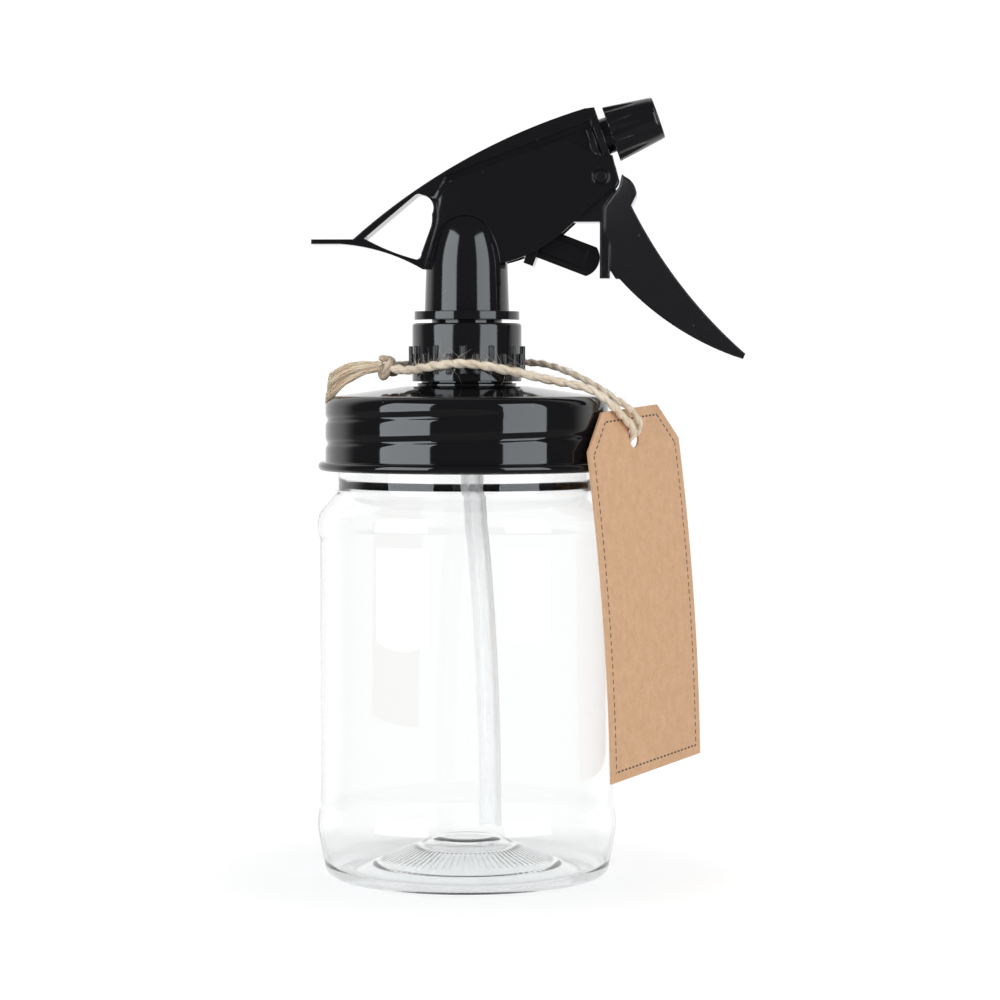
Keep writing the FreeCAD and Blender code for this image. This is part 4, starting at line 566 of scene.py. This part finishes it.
def section_points(step, start, *moves):
    """Points along a section (distance from the axis, height), no further apart than the step. A move of two
    numbers is a straight run to that point. A move of four is an arc round the first pair to the second,
    along which both the angle and the distance from the arc's middle change evenly."""
    points = [np.array([start], float)]
    here = np.array(start, float)
    for move in moves:
        there = np.array(move[-2:], float)
        if len(move) == 2:
            count = max(1, math.ceil(np.linalg.norm(there - here) / step))
            share = np.linspace(0, 1, count + 1)[1:, None]
            points.append(here + (there - here) * share)
        else:
            middle = np.array(move[:2], float)
            first, last = here - middle, there - middle
            begin = math.atan2(first[1], first[0])
            sweep = (math.atan2(last[1], last[0]) - begin + math.pi) % (2 * math.pi) - math.pi
            radius = np.linalg.norm(first)
            count = max(6, math.ceil(abs(sweep) * radius / step))
            share = np.linspace(0, 1, count + 1)[1:]
            reach = radius + (np.linalg.norm(last) - radius) * share
            points.append(middle + reach[:, None] * np.stack([np.cos(begin + sweep * share),
                                                              np.sin(begin + sweep * share)], 1))
        here = there
    return np.concatenate(points)


def turned_mesh(name, section, around, closed, reshape=None, place=None):
    """A section carried round the Z axis: a point at distance r and height z goes to (r cos turn, r sin turn,
    z). reshape may first move the points, which it gets as arrays of r, z and the turn. place has columns
    for the directions of the turned shape's axes and its foot. A closed section joins its own end; an open
    one has a small ring at each pole, closed with faces."""
    turn = np.linspace(0, 2 * np.pi, around, endpoint=False)
    radius = np.repeat(section[:, :1], around, 1)
    height = np.repeat(section[:, 1:], around, 1)
    if reshape:
        radius, height = reshape(radius, height, np.broadcast_to(turn, radius.shape))
    points = np.stack([radius * np.cos(turn), radius * np.sin(turn), height], 2)
    if place is not None:
        points = points @ place[:, :3].T + place[:, 3]
    points = points / 1000
    index = np.arange(radius.size).reshape(radius.shape)
    rings = np.vstack([index, index[:1]]) if closed else index
    walls = cell_corners(np.hstack([rings, rings[:, :1]])[None]).reshape(-1, 4)
    if closed:
        return corner_mesh(name, points, walls)
    poles = [end_faces(index[0]), end_faces(index[-1])[:, ::-1]]
    return corner_mesh(name, points, np.concatenate([walls, *poles]))


BASE_RIBS, RIB_HEIGHT, RIB_START, RIB_END = 72, 0.08, 13.5, 21.5
BASE_RINGS, RING_HEIGHT, RING_WIDTH = (12.0, 23.0), 0.35, 0.45


def base_ribs(radius, height, turn):
    """The mould's marks under the base, all on the outer face of the cone: low ribs, whose height is a cosine
    of the turn, between two rings, whose height is a bell curve of the distance from them."""
    under = (height < 9.5) & (radius < 30.5) & (np.arange(len(height))[:, None] < len(height) // 2)
    band = np.clip(radius - RIB_START, 0, 1) * np.clip(RIB_END - radius, 0, 1)
    marks = RIB_HEIGHT * band * np.cos(BASE_RIBS * turn)
    for ring in BASE_RINGS:
        marks = marks + RING_HEIGHT * np.exp(-((radius - ring) / RING_WIDTH) ** 2)
    return radius, height - np.where(under, marks, 0)


# From the middle of the base up the outside, over the rim, and down the inside.
jar_section = section_points(
    1.15, (0.03, 8.6), (8.0, 8.6), (30.3, 0), (34.3, 0), (33.8, 3.87, 37.7, 3.9), (39.05, 11.0),
    (23.36, 14.13, 38.6, 19.0), (38.6, 89.0), (30.75, 92.52, 38.7, 95.8), (34.3, 100.9), (33.8, 101.9),
    (33.8, 124.3), (32.2, 124.3), (32.2, 104.5), (32.7, 102.6), (33.5, 100.3), (37.7, 95.3),
    (30.73, 92.26, 37.6, 89.0), (37.6, 19.0), (23.39, 14.19, 38.05, 11.0), (36.7, 3.9),
    (33.06, 5.3, 34.3, 1.6), (30.3, 1.6), (8.0, 10.2), (0.03, 10.2))


def clear_material():
    """Clear PET: its walls are not quite even, so what shows in them bends a little."""
    material, tree, shader, _ = painted("clear_pet", Base_Color=(0.985, 0.99, 0.99, 1), Roughness=0.0,
                                        IOR=1.5, Transmission_Weight=1.0)
    stretch = node(tree, "Mapping", Vector=place_of(tree), Scale=(1, 1, 0.35))
    drift = node(tree, "TexNoise", Vector=stretch.outputs[0], Scale=55.0, Detail=2.0)
    bumped(tree, shader, 0.1, 0.0003, drift.outputs[0])
    return material


clear_pet = clear_material()
jar = piece("jar_wall", turned_mesh("jar_wall", jar_section, 288, False, base_ribs), clear_pet, "jar", "jar",
            slot="clear_pet")
jar.visible_shadow = False


# ---- Lid -------------------------------------------------
# A one-piece lid in gloss black plastic: a rolled bead, a skirt with a shallow groove wound round it, and
# a low conical top with the sprayer's spout. It screws down on the jar.

GROOVE_ANGLE, GROOVE_START, GROOVE_FALL, GROOVE_DEPTH, GROOVE_HALF = -115.5, 121.2, 6.2, 0.52, 0.8


def eased(share):
    """From 0 to 1 by three times the square less twice the cube, so it is flat at both ends."""
    share = np.clip(share, 0, 1)
    return share ** 2 * (3 - 2 * share)


def rolled_groove(radius, height, turn):
    """The groove that winds down the skirt: it falls by the same height each turn, its depth is a bell curve
    of the distance from it, and both its ends fade out."""
    skirt = np.clip((radius - 36.9) / 0.2, 0, 1)
    cut = np.zeros_like(radius)
    for lap in (-1, 0, 1):
        gone = (GROOVE_ANGLE - np.degrees(turn)) % 360 + 360 * lap
        strength = eased((gone + 45) / 30) * (1 - eased((gone - 440) / 60))
        cut += strength * np.exp(-((height - (GROOVE_START - GROOVE_FALL * gone / 360)) / GROOVE_HALF) ** 2)
    return radius - GROOVE_DEPTH * skirt * np.clip(cut, 0, 1), height


# From the spout over the top, down the skirt to the bead, and up inside. The steps are longer on the cone
# and inside, where the faces are plain.
lid_section = np.concatenate([
    section_points(0.27, (12.0, 141.0), (12.0, 129.8), (13.0, 129.8), (13.0, 129.0), (16.0, 129.0)),
    section_points(0.8, (16.6, 128.92), (34.2, 126.5)),
    section_points(0.27, (34.3, 126.49), (34.2, 123.5, 37.2, 123.5), (37.2, 109.6),
                   (37.5, 109.6, 37.5, 109.3), (37.9, 108.1, 39.1, 108.1), (37.9, 108.1, 37.9, 106.9),
                   (36.2, 106.9)),
    section_points(1.5, (36.2, 108.0), (36.2, 125.5), (29.6, 125.5), (15.0, 128.0), (9.6, 128.0),
                   (9.6, 141.0))])


def moulded_effect():
    """The skin of a moulded part: Height has slow flow marks, Haze makes patches slightly less polished, and
    Dust has a speck in the middle of those few cells of a scattered pattern whose random colour is high."""
    tree, given, result = effect("moulded_skin",
                                 {"Vector": "Vector", "Flow Scale": "Float", "Dust Scale": "Float"},
                                 {"Height": "Float", "Haze": "Float", "Dust": "Float"})
    flow = node(tree, "TexNoise", Vector=given["Vector"], Scale=given["Flow Scale"], Detail=3.0)
    haze = node(tree, "TexNoise", Vector=given["Vector"], Scale=90.0, Detail=4.0, Roughness=0.7)
    cells = node(tree, "TexVoronoi", Vector=given["Vector"], Scale=given["Dust Scale"]).outputs
    speck = ranged(tree, cells["Distance"], 0.05, 0.12, 1.0, 0.0)
    chance = node(tree, "SeparateColor", Color=cells["Color"]).outputs[0]
    dust = arithmetic(tree, "MULTIPLY", speck, ranged(tree, chance, 0.90, 0.92, 0.0, 1.0))
    tree.links.new(flow.outputs[0], result["Height"])
    tree.links.new(haze.outputs[0], result["Haze"])
    tree.links.new(dust, result["Dust"])
    return tree


moulded_skin = moulded_effect()
DUST_SCALE, DUST_COLOUR = 420.0, (0.7, 0.68, 0.65, 1)


def skinned(tree, shader, flow_scale, polish, haze):
    """The moulded skin in a material, whose haze is added to the polish as roughness."""
    skin = node(tree, "Group", {"node_tree": moulded_skin}, Vector=place_of(tree), Flow_Scale=flow_scale,
                Dust_Scale=DUST_SCALE).outputs
    tree.links.new(arithmetic(tree, "MULTIPLY_ADD", skin["Haze"], haze, polish), shader.inputs["Roughness"])
    return skin


def moulded(name, colour, polish, haze, flow_depth=0.00003, flow_scale=70.0, dust=0.10, edge=0.0004, **fixed):
    """Moulded plastic: one colour with flow marks, patches of haze, specks of dust, and edges that the mould
    leaves slightly round, so that they catch the light."""
    material, tree, shader, _ = painted(name, IOR=1.5, **fixed)
    skin = skinned(tree, shader, flow_scale, polish, haze)
    tint = node(tree, "Mix", {"data_type": "RGBA"},
                i0=arithmetic(tree, "MULTIPLY", skin["Dust"], dust), i6=(*colour, 1), i7=DUST_COLOUR)
    tree.links.new(tint.outputs[2], shader.inputs["Base Color"])
    normal = {"Normal": node(tree, "Bevel", {"samples": 4}, Radius=edge).outputs[0]} if edge else {}
    bumped(tree, shader, 0.5, flow_depth, skin["Height"], **normal)
    return material


def finish_nodes(material, *names):
    """Gives CAD nodes their finished material."""
    for name in names:
        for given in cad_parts[name].material_slots:
            given.material = material


lid_black = moulded("lid_black", (0.006, 0.006, 0.007), 0.035, 0.04, edge=0)
piece("lid_shell", turned_mesh("lid_shell", lid_section, 360, True, rolled_groove), lid_black, "lid",
      "jar_lid", slot="lid_black")


# ---- Liner and gasket ------------------------------------
# A ring of closed-cell foam in the lid, die cut from sheet, and a ring of soft rubber in the collar. Both
# are pressed in, and stay hidden until the jar or the collar is unscrewed.

foam = moulded("liner_foam", (0.85, 0.85, 0.83), 0.75, 0.15, flow_depth=0.0001, flow_scale=900.0, edge=0)
finish_nodes(foam, "lid_liner")
rubber = moulded("gasket_rubber", (0.75, 0.75, 0.73), 0.5, 0.2, flow_depth=0.00006, flow_scale=500.0, edge=0)
finish_nodes(rubber, "collar_gasket")


# ---- Sprayer ---------------------------------------------
# The pump body, its screw collar, the head shell with its two side panels, the trigger and the nozzle, all
# moulded in gloss black plastic and snapped together.

sprayer_black = moulded("sprayer_black", (0.0075, 0.007, 0.0085), 0.05, 0.05, flow_depth=0.00001, edge=0.0005)
finish_nodes(sprayer_black, "pump_body", "screw_collar", "plunger")
trigger_black = moulded("trigger_black", (0.010, 0.0095, 0.0115), 0.07, 0.06, flow_depth=0.00001, edge=0.0008)
finish_nodes(trigger_black, "trigger")

# Millimetres: half widths of the beam, the side panels and the tail, and the pin that the trigger turns on.
SPRAY_TILT, AXIS_HEIGHT = math.radians(19.4), 181.5
BEAM_HALF, CHANNEL_DEPTH, PANEL_HALF, TAIL_HALF = 5.3, 0.6, 6.1, 5.32
PIN_X, PIN_Z, SINK_RADIUS, SINK_DEPTH, CUT_REACH = 35.3, 183.5, 2.25, 0.3, 9.0


def by_spray_axis(along, over):
    """The x and z of a point at a station along the spray axis and a height over it."""
    return (along * math.cos(SPRAY_TILT) - over * math.sin(SPRAY_TILT),
            AXIS_HEIGHT + along * math.sin(SPRAY_TILT) + over * math.cos(SPRAY_TILT))


def prisms(pairs):
    """Closed prisms, each between two outlines of points in millimetres with the same number of corners."""
    points, faces = [], []
    for near, far in pairs:
        count, first = len(near), len(points)
        points += [tuple(value / 1000 for value in corner) for corner in near + far]
        faces += [(first + k, first + (k + 1) % count, first + count + (k + 1) % count, first + count + k)
                  for k in range(count)]
        faces += [tuple(first + k for k in reversed(range(count))),
                  tuple(first + count + k for k in range(count))]
    return points, faces


def side_cutters(outline, inner, outer):
    """Two prisms with one outline (x, z), from the inner to the outer distance on each side of the middle."""
    return prisms([([(x, side * inner, z) for x, z in outline], [(x, side * outer, z) for x, z in outline])
                   for side in (1, -1)])


def cut_copy(name, source, cutters):
    """A merged copy of a CAD node's mesh with the cutters taken out of it, and its crease edges marked."""
    mesh = source.data.copy()
    mesh.materials.clear()
    work = bmesh.new()
    work.from_mesh(mesh)
    bmesh.ops.remove_doubles(work, verts=work.verts, dist=1e-6)
    work.to_mesh(mesh)
    work.free()
    holder = placed(name, mesh)
    made = []
    for number, (points, faces) in enumerate(cutters):
        tool = bpy.data.meshes.new("%s_tool_%d" % (name, number))
        tool.from_pydata(points, [], faces)
        work = bmesh.new()
        work.from_mesh(tool)
        bmesh.ops.recalc_face_normals(work, faces=work.faces)
        work.to_mesh(tool)
        work.free()
        made.append(placed(tool.name, tool))
        step = holder.modifiers.new(tool.name, "BOOLEAN")
        step.operation, step.solver, step.object = "DIFFERENCE", "EXACT", made[-1]
    bpy.context.view_layer.update()
    result = bpy.data.meshes.new_from_object(holder.evaluated_get(bpy.context.evaluated_depsgraph_get()))
    result.name = name
    for thing in [holder] + made:
        bpy.data.objects.remove(thing)
    result.polygons.foreach_set("use_smooth", np.ones(len(result.polygons), bool))
    result.set_sharp_from_angle(angle=math.radians(14))
    return result


def head_cutters():
    """The channel under the crest with its round rear end, the seam behind the front band that it runs into,
    and the sunk ring round each end of the trigger's pin."""
    arc = [math.radians(angle) for angle in range(90, 271, 15)]
    outline = [(35.8, -4.8), (36.2, -4.8), (36.2, 4.85), (35.8, 4.85)]
    outline += [(-3.6 + 0.85 * math.cos(angle), 3.2 + 0.85 * math.sin(angle)) for angle in arc]
    outline += [(35.8, 3.15)]
    ring = [(PIN_X + SINK_RADIUS * math.cos(angle), PIN_Z + SINK_RADIUS * math.sin(angle))
            for angle in np.linspace(0, 2 * math.pi, 48, endpoint=False)]
    return [side_cutters([by_spray_axis(*point) for point in outline], BEAM_HALF - CHANNEL_DEPTH, CUT_REACH),
            side_cutters(ring, PANEL_HALF - SINK_DEPTH, CUT_REACH)]


def rear_taper():
    """Two wedges along the window's front edge: behind them the side panels run out gently into the tail."""
    lean, foot_x, foot_z = math.radians(10), -11.3, 156.4
    section = ((-3.0, TAIL_HALF), (0.0, TAIL_HALF), (6.5, PANEL_HALF + 0.06), (6.5, 8.0), (-3.0, 8.0))
    return prisms([[[(foot_x + ahead * math.cos(lean) + up * math.sin(lean), side * out,
                      foot_z - ahead * math.sin(lean) + up * math.cos(lean)) for ahead, out in section]
                    for up in (-6, 27)] for side in (1, -1)])


head_mesh = cut_copy("head_cover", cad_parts["head_shell"], head_cutters() + [rear_taper()])
head_cover = piece("head_cover", head_mesh, sprayer_black, "head", "head_shell", slot="sprayer_black")
level_sides = head_cover.modifiers.new("level_sides", "WEIGHTED_NORMAL")
level_sides.mode = "FACE_AREA"
level_sides.weight = 80
level_sides.keep_sharp = True

NOZZLE_BACK, NOZZLE_FOOT, NOZZLE_TAPER = 40.1, 7.45, 1.9 / 13.1
FLUTES, FLUTE_ROUND, FLUTE_DEPTH, FLUTE_LENGTH = 12, 1.7, 0.8, 8.6


def nozzle_flutes(radius, height, turn):
    """Flutes down the back of the nozzle. A flute is a round bar laid along the cone: at an angle off its
    middle, the bar's near face is at (distance of its axis) x cosine less the root of (its radius squared
    less the sideways distance squared). The bar climbs out of the cone, so the flute narrows to a point."""
    outside = (radius > 5.4) & (height < 12.9)
    sideways = (turn + math.pi / FLUTES) % (2 * math.pi / FLUTES) - math.pi / FLUTES
    sunk = FLUTE_DEPTH * (1 - np.clip(height / FLUTE_LENGTH, 0, 1.4) ** 1.4)
    middle = NOZZLE_FOOT - NOZZLE_TAPER * height + FLUTE_ROUND - sunk
    across = middle * np.sin(sideways)
    near = middle * np.cos(sideways) - np.sqrt(np.clip(FLUTE_ROUND ** 2 - across ** 2, 0, None))
    bitten = outside & (np.abs(across) < FLUTE_ROUND) & (near < radius)
    return np.where(bitten, near, radius), height


nozzle_section = section_points(
    0.3, (5.1, 0), (7.25, 0), (7.25, 0.2, 7.43, 0.2), (5.68, 12.3), (5.52, 12.38), (5.52, 12.48),
    (5.64, 12.56), (5.08, 12.6, 5.08, 13.1), (1.8, 13.1), (0.6, 11.9), (0.6, 10.1), (4.1, 10.1), (4.1, 3.0),
    (5.1, 3.0))
spray_way = Vector((math.cos(SPRAY_TILT), 0, math.sin(SPRAY_TILT)))
spray_side = Vector((0, 1, 0))
spray_over = spray_way.cross(spray_side)
nozzle_at = spray_way * NOZZLE_BACK + Vector((0, 0, AXIS_HEIGHT))
nozzle_place = np.column_stack([spray_side, spray_over, spray_way, nozzle_at])
piece("nozzle_fluted", turned_mesh("nozzle_fluted", nozzle_section, 288, True, nozzle_flutes, nozzle_place),
      sprayer_black, "nozzle", "nozzle_cap", slot="sprayer_black")


# ---- Clear and pale plastic inside -----------------------
# The dip tube is drawn from natural polyethylene, milky, clearer face on than at its edges, and bowed from
# the coil. The retainer, the swirl insert and the seals are moulded in the same plastic.

tube_milk = moulded("tube_milk", (0.96, 0.96, 0.965), 0.28, 0.10, flow_depth=0.000004, dust=0.0, edge=0)
tube_tree = tube_milk.node_tree
tube_graze = node(tube_tree, "LayerWeight", Blend=0.5)
tube_cover = ranged(tube_tree, tube_graze.outputs["Facing"], 0.0, 0.9, 0.22, 0.75)
tube_tree.links.new(tube_cover, tube_tree.nodes["Principled BSDF"].inputs["Alpha"])
finish_nodes(tube_milk, "dip_tube")
natural = moulded("natural_plastic", (0.88, 0.89, 0.88), 0.28, 0.12, dust=0.0, edge=0,
                  Transmission_Weight=0.3)
finish_nodes(natural, "tube_retainer", "swirl_insert", "piston_seal", "nozzle_seal")


# ---- Balls and springs -----------------------------------
# Two stainless balls close the pump's valves, and two springs of bright drawn wire push the outlet ball and
# the plunger back.


def steel_material(name, colour, polish, haze, scratch):
    """Bright steel: fine scratches in all directions over a polished or drawn surface."""
    material, tree, shader, _ = painted(name, Base_Color=(*colour, 1), Metallic=1.0)
    skin = skinned(tree, shader, scratch, polish, haze)
    bumped(tree, shader, 0.3, 0.00002, skin["Height"])
    return material


finish_nodes(steel_material("steel_ball", (0.75, 0.75, 0.76), 0.05, 0.08, 300.0), "inlet_ball", "outlet_ball")


def working_coil(name, spring, steel):
    """A spring as a merged copy of its CAD node, with its own mesh, riding on the head in the node's place.
    """
    mesh = cut_copy(name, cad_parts[spring], [])
    coil = piece(name, mesh, steel, "head", spring, slot="spring_steel")
    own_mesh(coil)


spring_steel = steel_material("spring_steel", (0.55, 0.55, 0.56), 0.18, 0.15, 1500.0)
working_coil("return_coil", "return_spring", spring_steel)
working_coil("outlet_coil", "outlet_spring", spring_steel)


# ---- Tag -------------------------------------------------
# A hang tag die cut from brown kraft card, with its two top corners cut off, a punched hole, and a printed
# border of dashes. It hangs on the twine in front of the lid's right side.

TAG_HALF_WIDTH, TAG_HALF_LENGTH = 0.0254, 0.04765
TAG_CORNER_ACROSS, TAG_CORNER_DOWN = 0.0099, 0.00965
BORDER_INSET, BORDER_HALF_LINE = 0.0026, 0.00023
DASH_PITCH, DASH_SHARE = 0.0020, 0.58


def tag_place():
    """Where the card's middle is, how it is turned, and the way it faces."""
    facing, lean, roll = math.radians(-26.8), math.radians(-3.2), math.radians(3.37)
    outward = Vector((math.cos(facing), math.sin(facing), 0))
    across = Vector((-math.sin(facing), math.cos(facing), 0))
    turned = Matrix(((across.x, 0, outward.x), (across.y, 0, outward.y), (0, 1, 0)))
    turned = turned @ Matrix.Rotation(lean, 3, "X") @ Matrix.Rotation(roll, 3, "Z")
    middle = outward * 0.0424 + across * 0.0218 + Vector((0, 0, 0.0758))
    return middle, turned.to_euler("XYZ"), turned.col[2]


def border_mask(tree, sides, faces_out):
    """1 on the printed dashes, 0 elsewhere. Each point of the card has a distance to its side edges, its top
    and bottom edges and its cut corners; the smallest of them, less the inset, is how far it is from the
    border's line, and the dashes repeat along whichever edge is nearest."""
    across, up = sides.outputs[0], sides.outputs[1]
    beside = arithmetic(tree, "SUBTRACT", TAG_HALF_WIDTH, arithmetic(tree, "ABSOLUTE", across))
    above = arithmetic(tree, "SUBTRACT", TAG_HALF_LENGTH, up)
    ends = arithmetic(tree, "SUBTRACT", TAG_HALF_LENGTH, arithmetic(tree, "ABSOLUTE", up))
    slant = math.hypot(TAG_CORNER_ACROSS, TAG_CORNER_DOWN)
    steep, flat = TAG_CORNER_DOWN / slant, TAG_CORNER_ACROSS / slant
    corner = arithmetic(tree, "MULTIPLY_ADD", above, flat, -TAG_CORNER_ACROSS * steep)
    corner = arithmetic(tree, "MULTIPLY_ADD", beside, steep, corner)
    straight = arithmetic(tree, "MINIMUM", beside, ends)
    nearest = arithmetic(tree, "MINIMUM", straight, corner)
    off = arithmetic(tree, "ABSOLUTE", arithmetic(tree, "SUBTRACT", nearest, BORDER_INSET))
    inked = ranged(tree, off, BORDER_HALF_LINE * 0.7, BORDER_HALF_LINE * 1.3, 1.0, 0.0)
    on_side = arithmetic(tree, "LESS_THAN", beside, ends)
    on_corner = arithmetic(tree, "LESS_THAN", corner, straight)
    slope = arithmetic(tree, "MULTIPLY_ADD", beside, -flat, arithmetic(tree, "MULTIPLY", above, steep))
    run = shared(tree, on_corner, shared(tree, on_side, across, up), slope)
    beat = arithmetic(tree, "DIVIDE", arithmetic(tree, "ADD", run, 1.0), DASH_PITCH)
    dash = arithmetic(tree, "LESS_THAN", arithmetic(tree, "FRACT", beat), DASH_SHARE)
    return arithmetic(tree, "MULTIPLY", arithmetic(tree, "MULTIPLY", inked, dash), faces_out)


def kraft_material():
    """Brown kraft card: pulp fibres pressed flat, cloudy colour, and the border printed in dark grey."""
    material, tree, shader, _ = painted("kraft_card", Roughness=0.82, Sheen_Weight=0.08, Sheen_Roughness=0.5)
    middle, turned, outward = tag_place()
    on_card = node(tree, "Mapping", {"vector_type": "TEXTURE"}, Vector=place_of(tree), Location=middle,
                   Rotation=turned)
    sides = node(tree, "SeparateXYZ", i0=on_card.outputs[0])
    squash = node(tree, "Mapping", Vector=on_card.outputs[0], Scale=(1.0, 0.7, 1.0))
    fibre = node(tree, "Group", {"node_tree": plant_fibre}, Streak_Vector=squash.outputs[0],
                 Blotch_Vector=on_card.outputs[0], Streak_Scale=1300.0, Blotch_Scale=330.0).outputs
    card = between(tree, fibre["Shade"], (0.60, 0.345, 0.183), (0.725, 0.448, 0.262), 0.34, 0.74)
    towards = node(tree, "VectorMath", {"operation": "DOT_PRODUCT"}, i0=place_of(tree, "Normal"),
                   i1=outward).outputs["Value"]
    ink = border_mask(tree, sides, arithmetic(tree, "GREATER_THAN", towards, 0.5))
    printed = node(tree, "Mix", {"data_type": "RGBA"}, i0=ink, i6=card, i7=(0.045, 0.040, 0.036, 1))
    tree.links.new(printed.outputs[2], shader.inputs["Base Color"])
    bumped(tree, shader, 0.35, 0.00006, fibre["Height"])
    return material


finish_nodes(kraft_material(), "hang_tag")
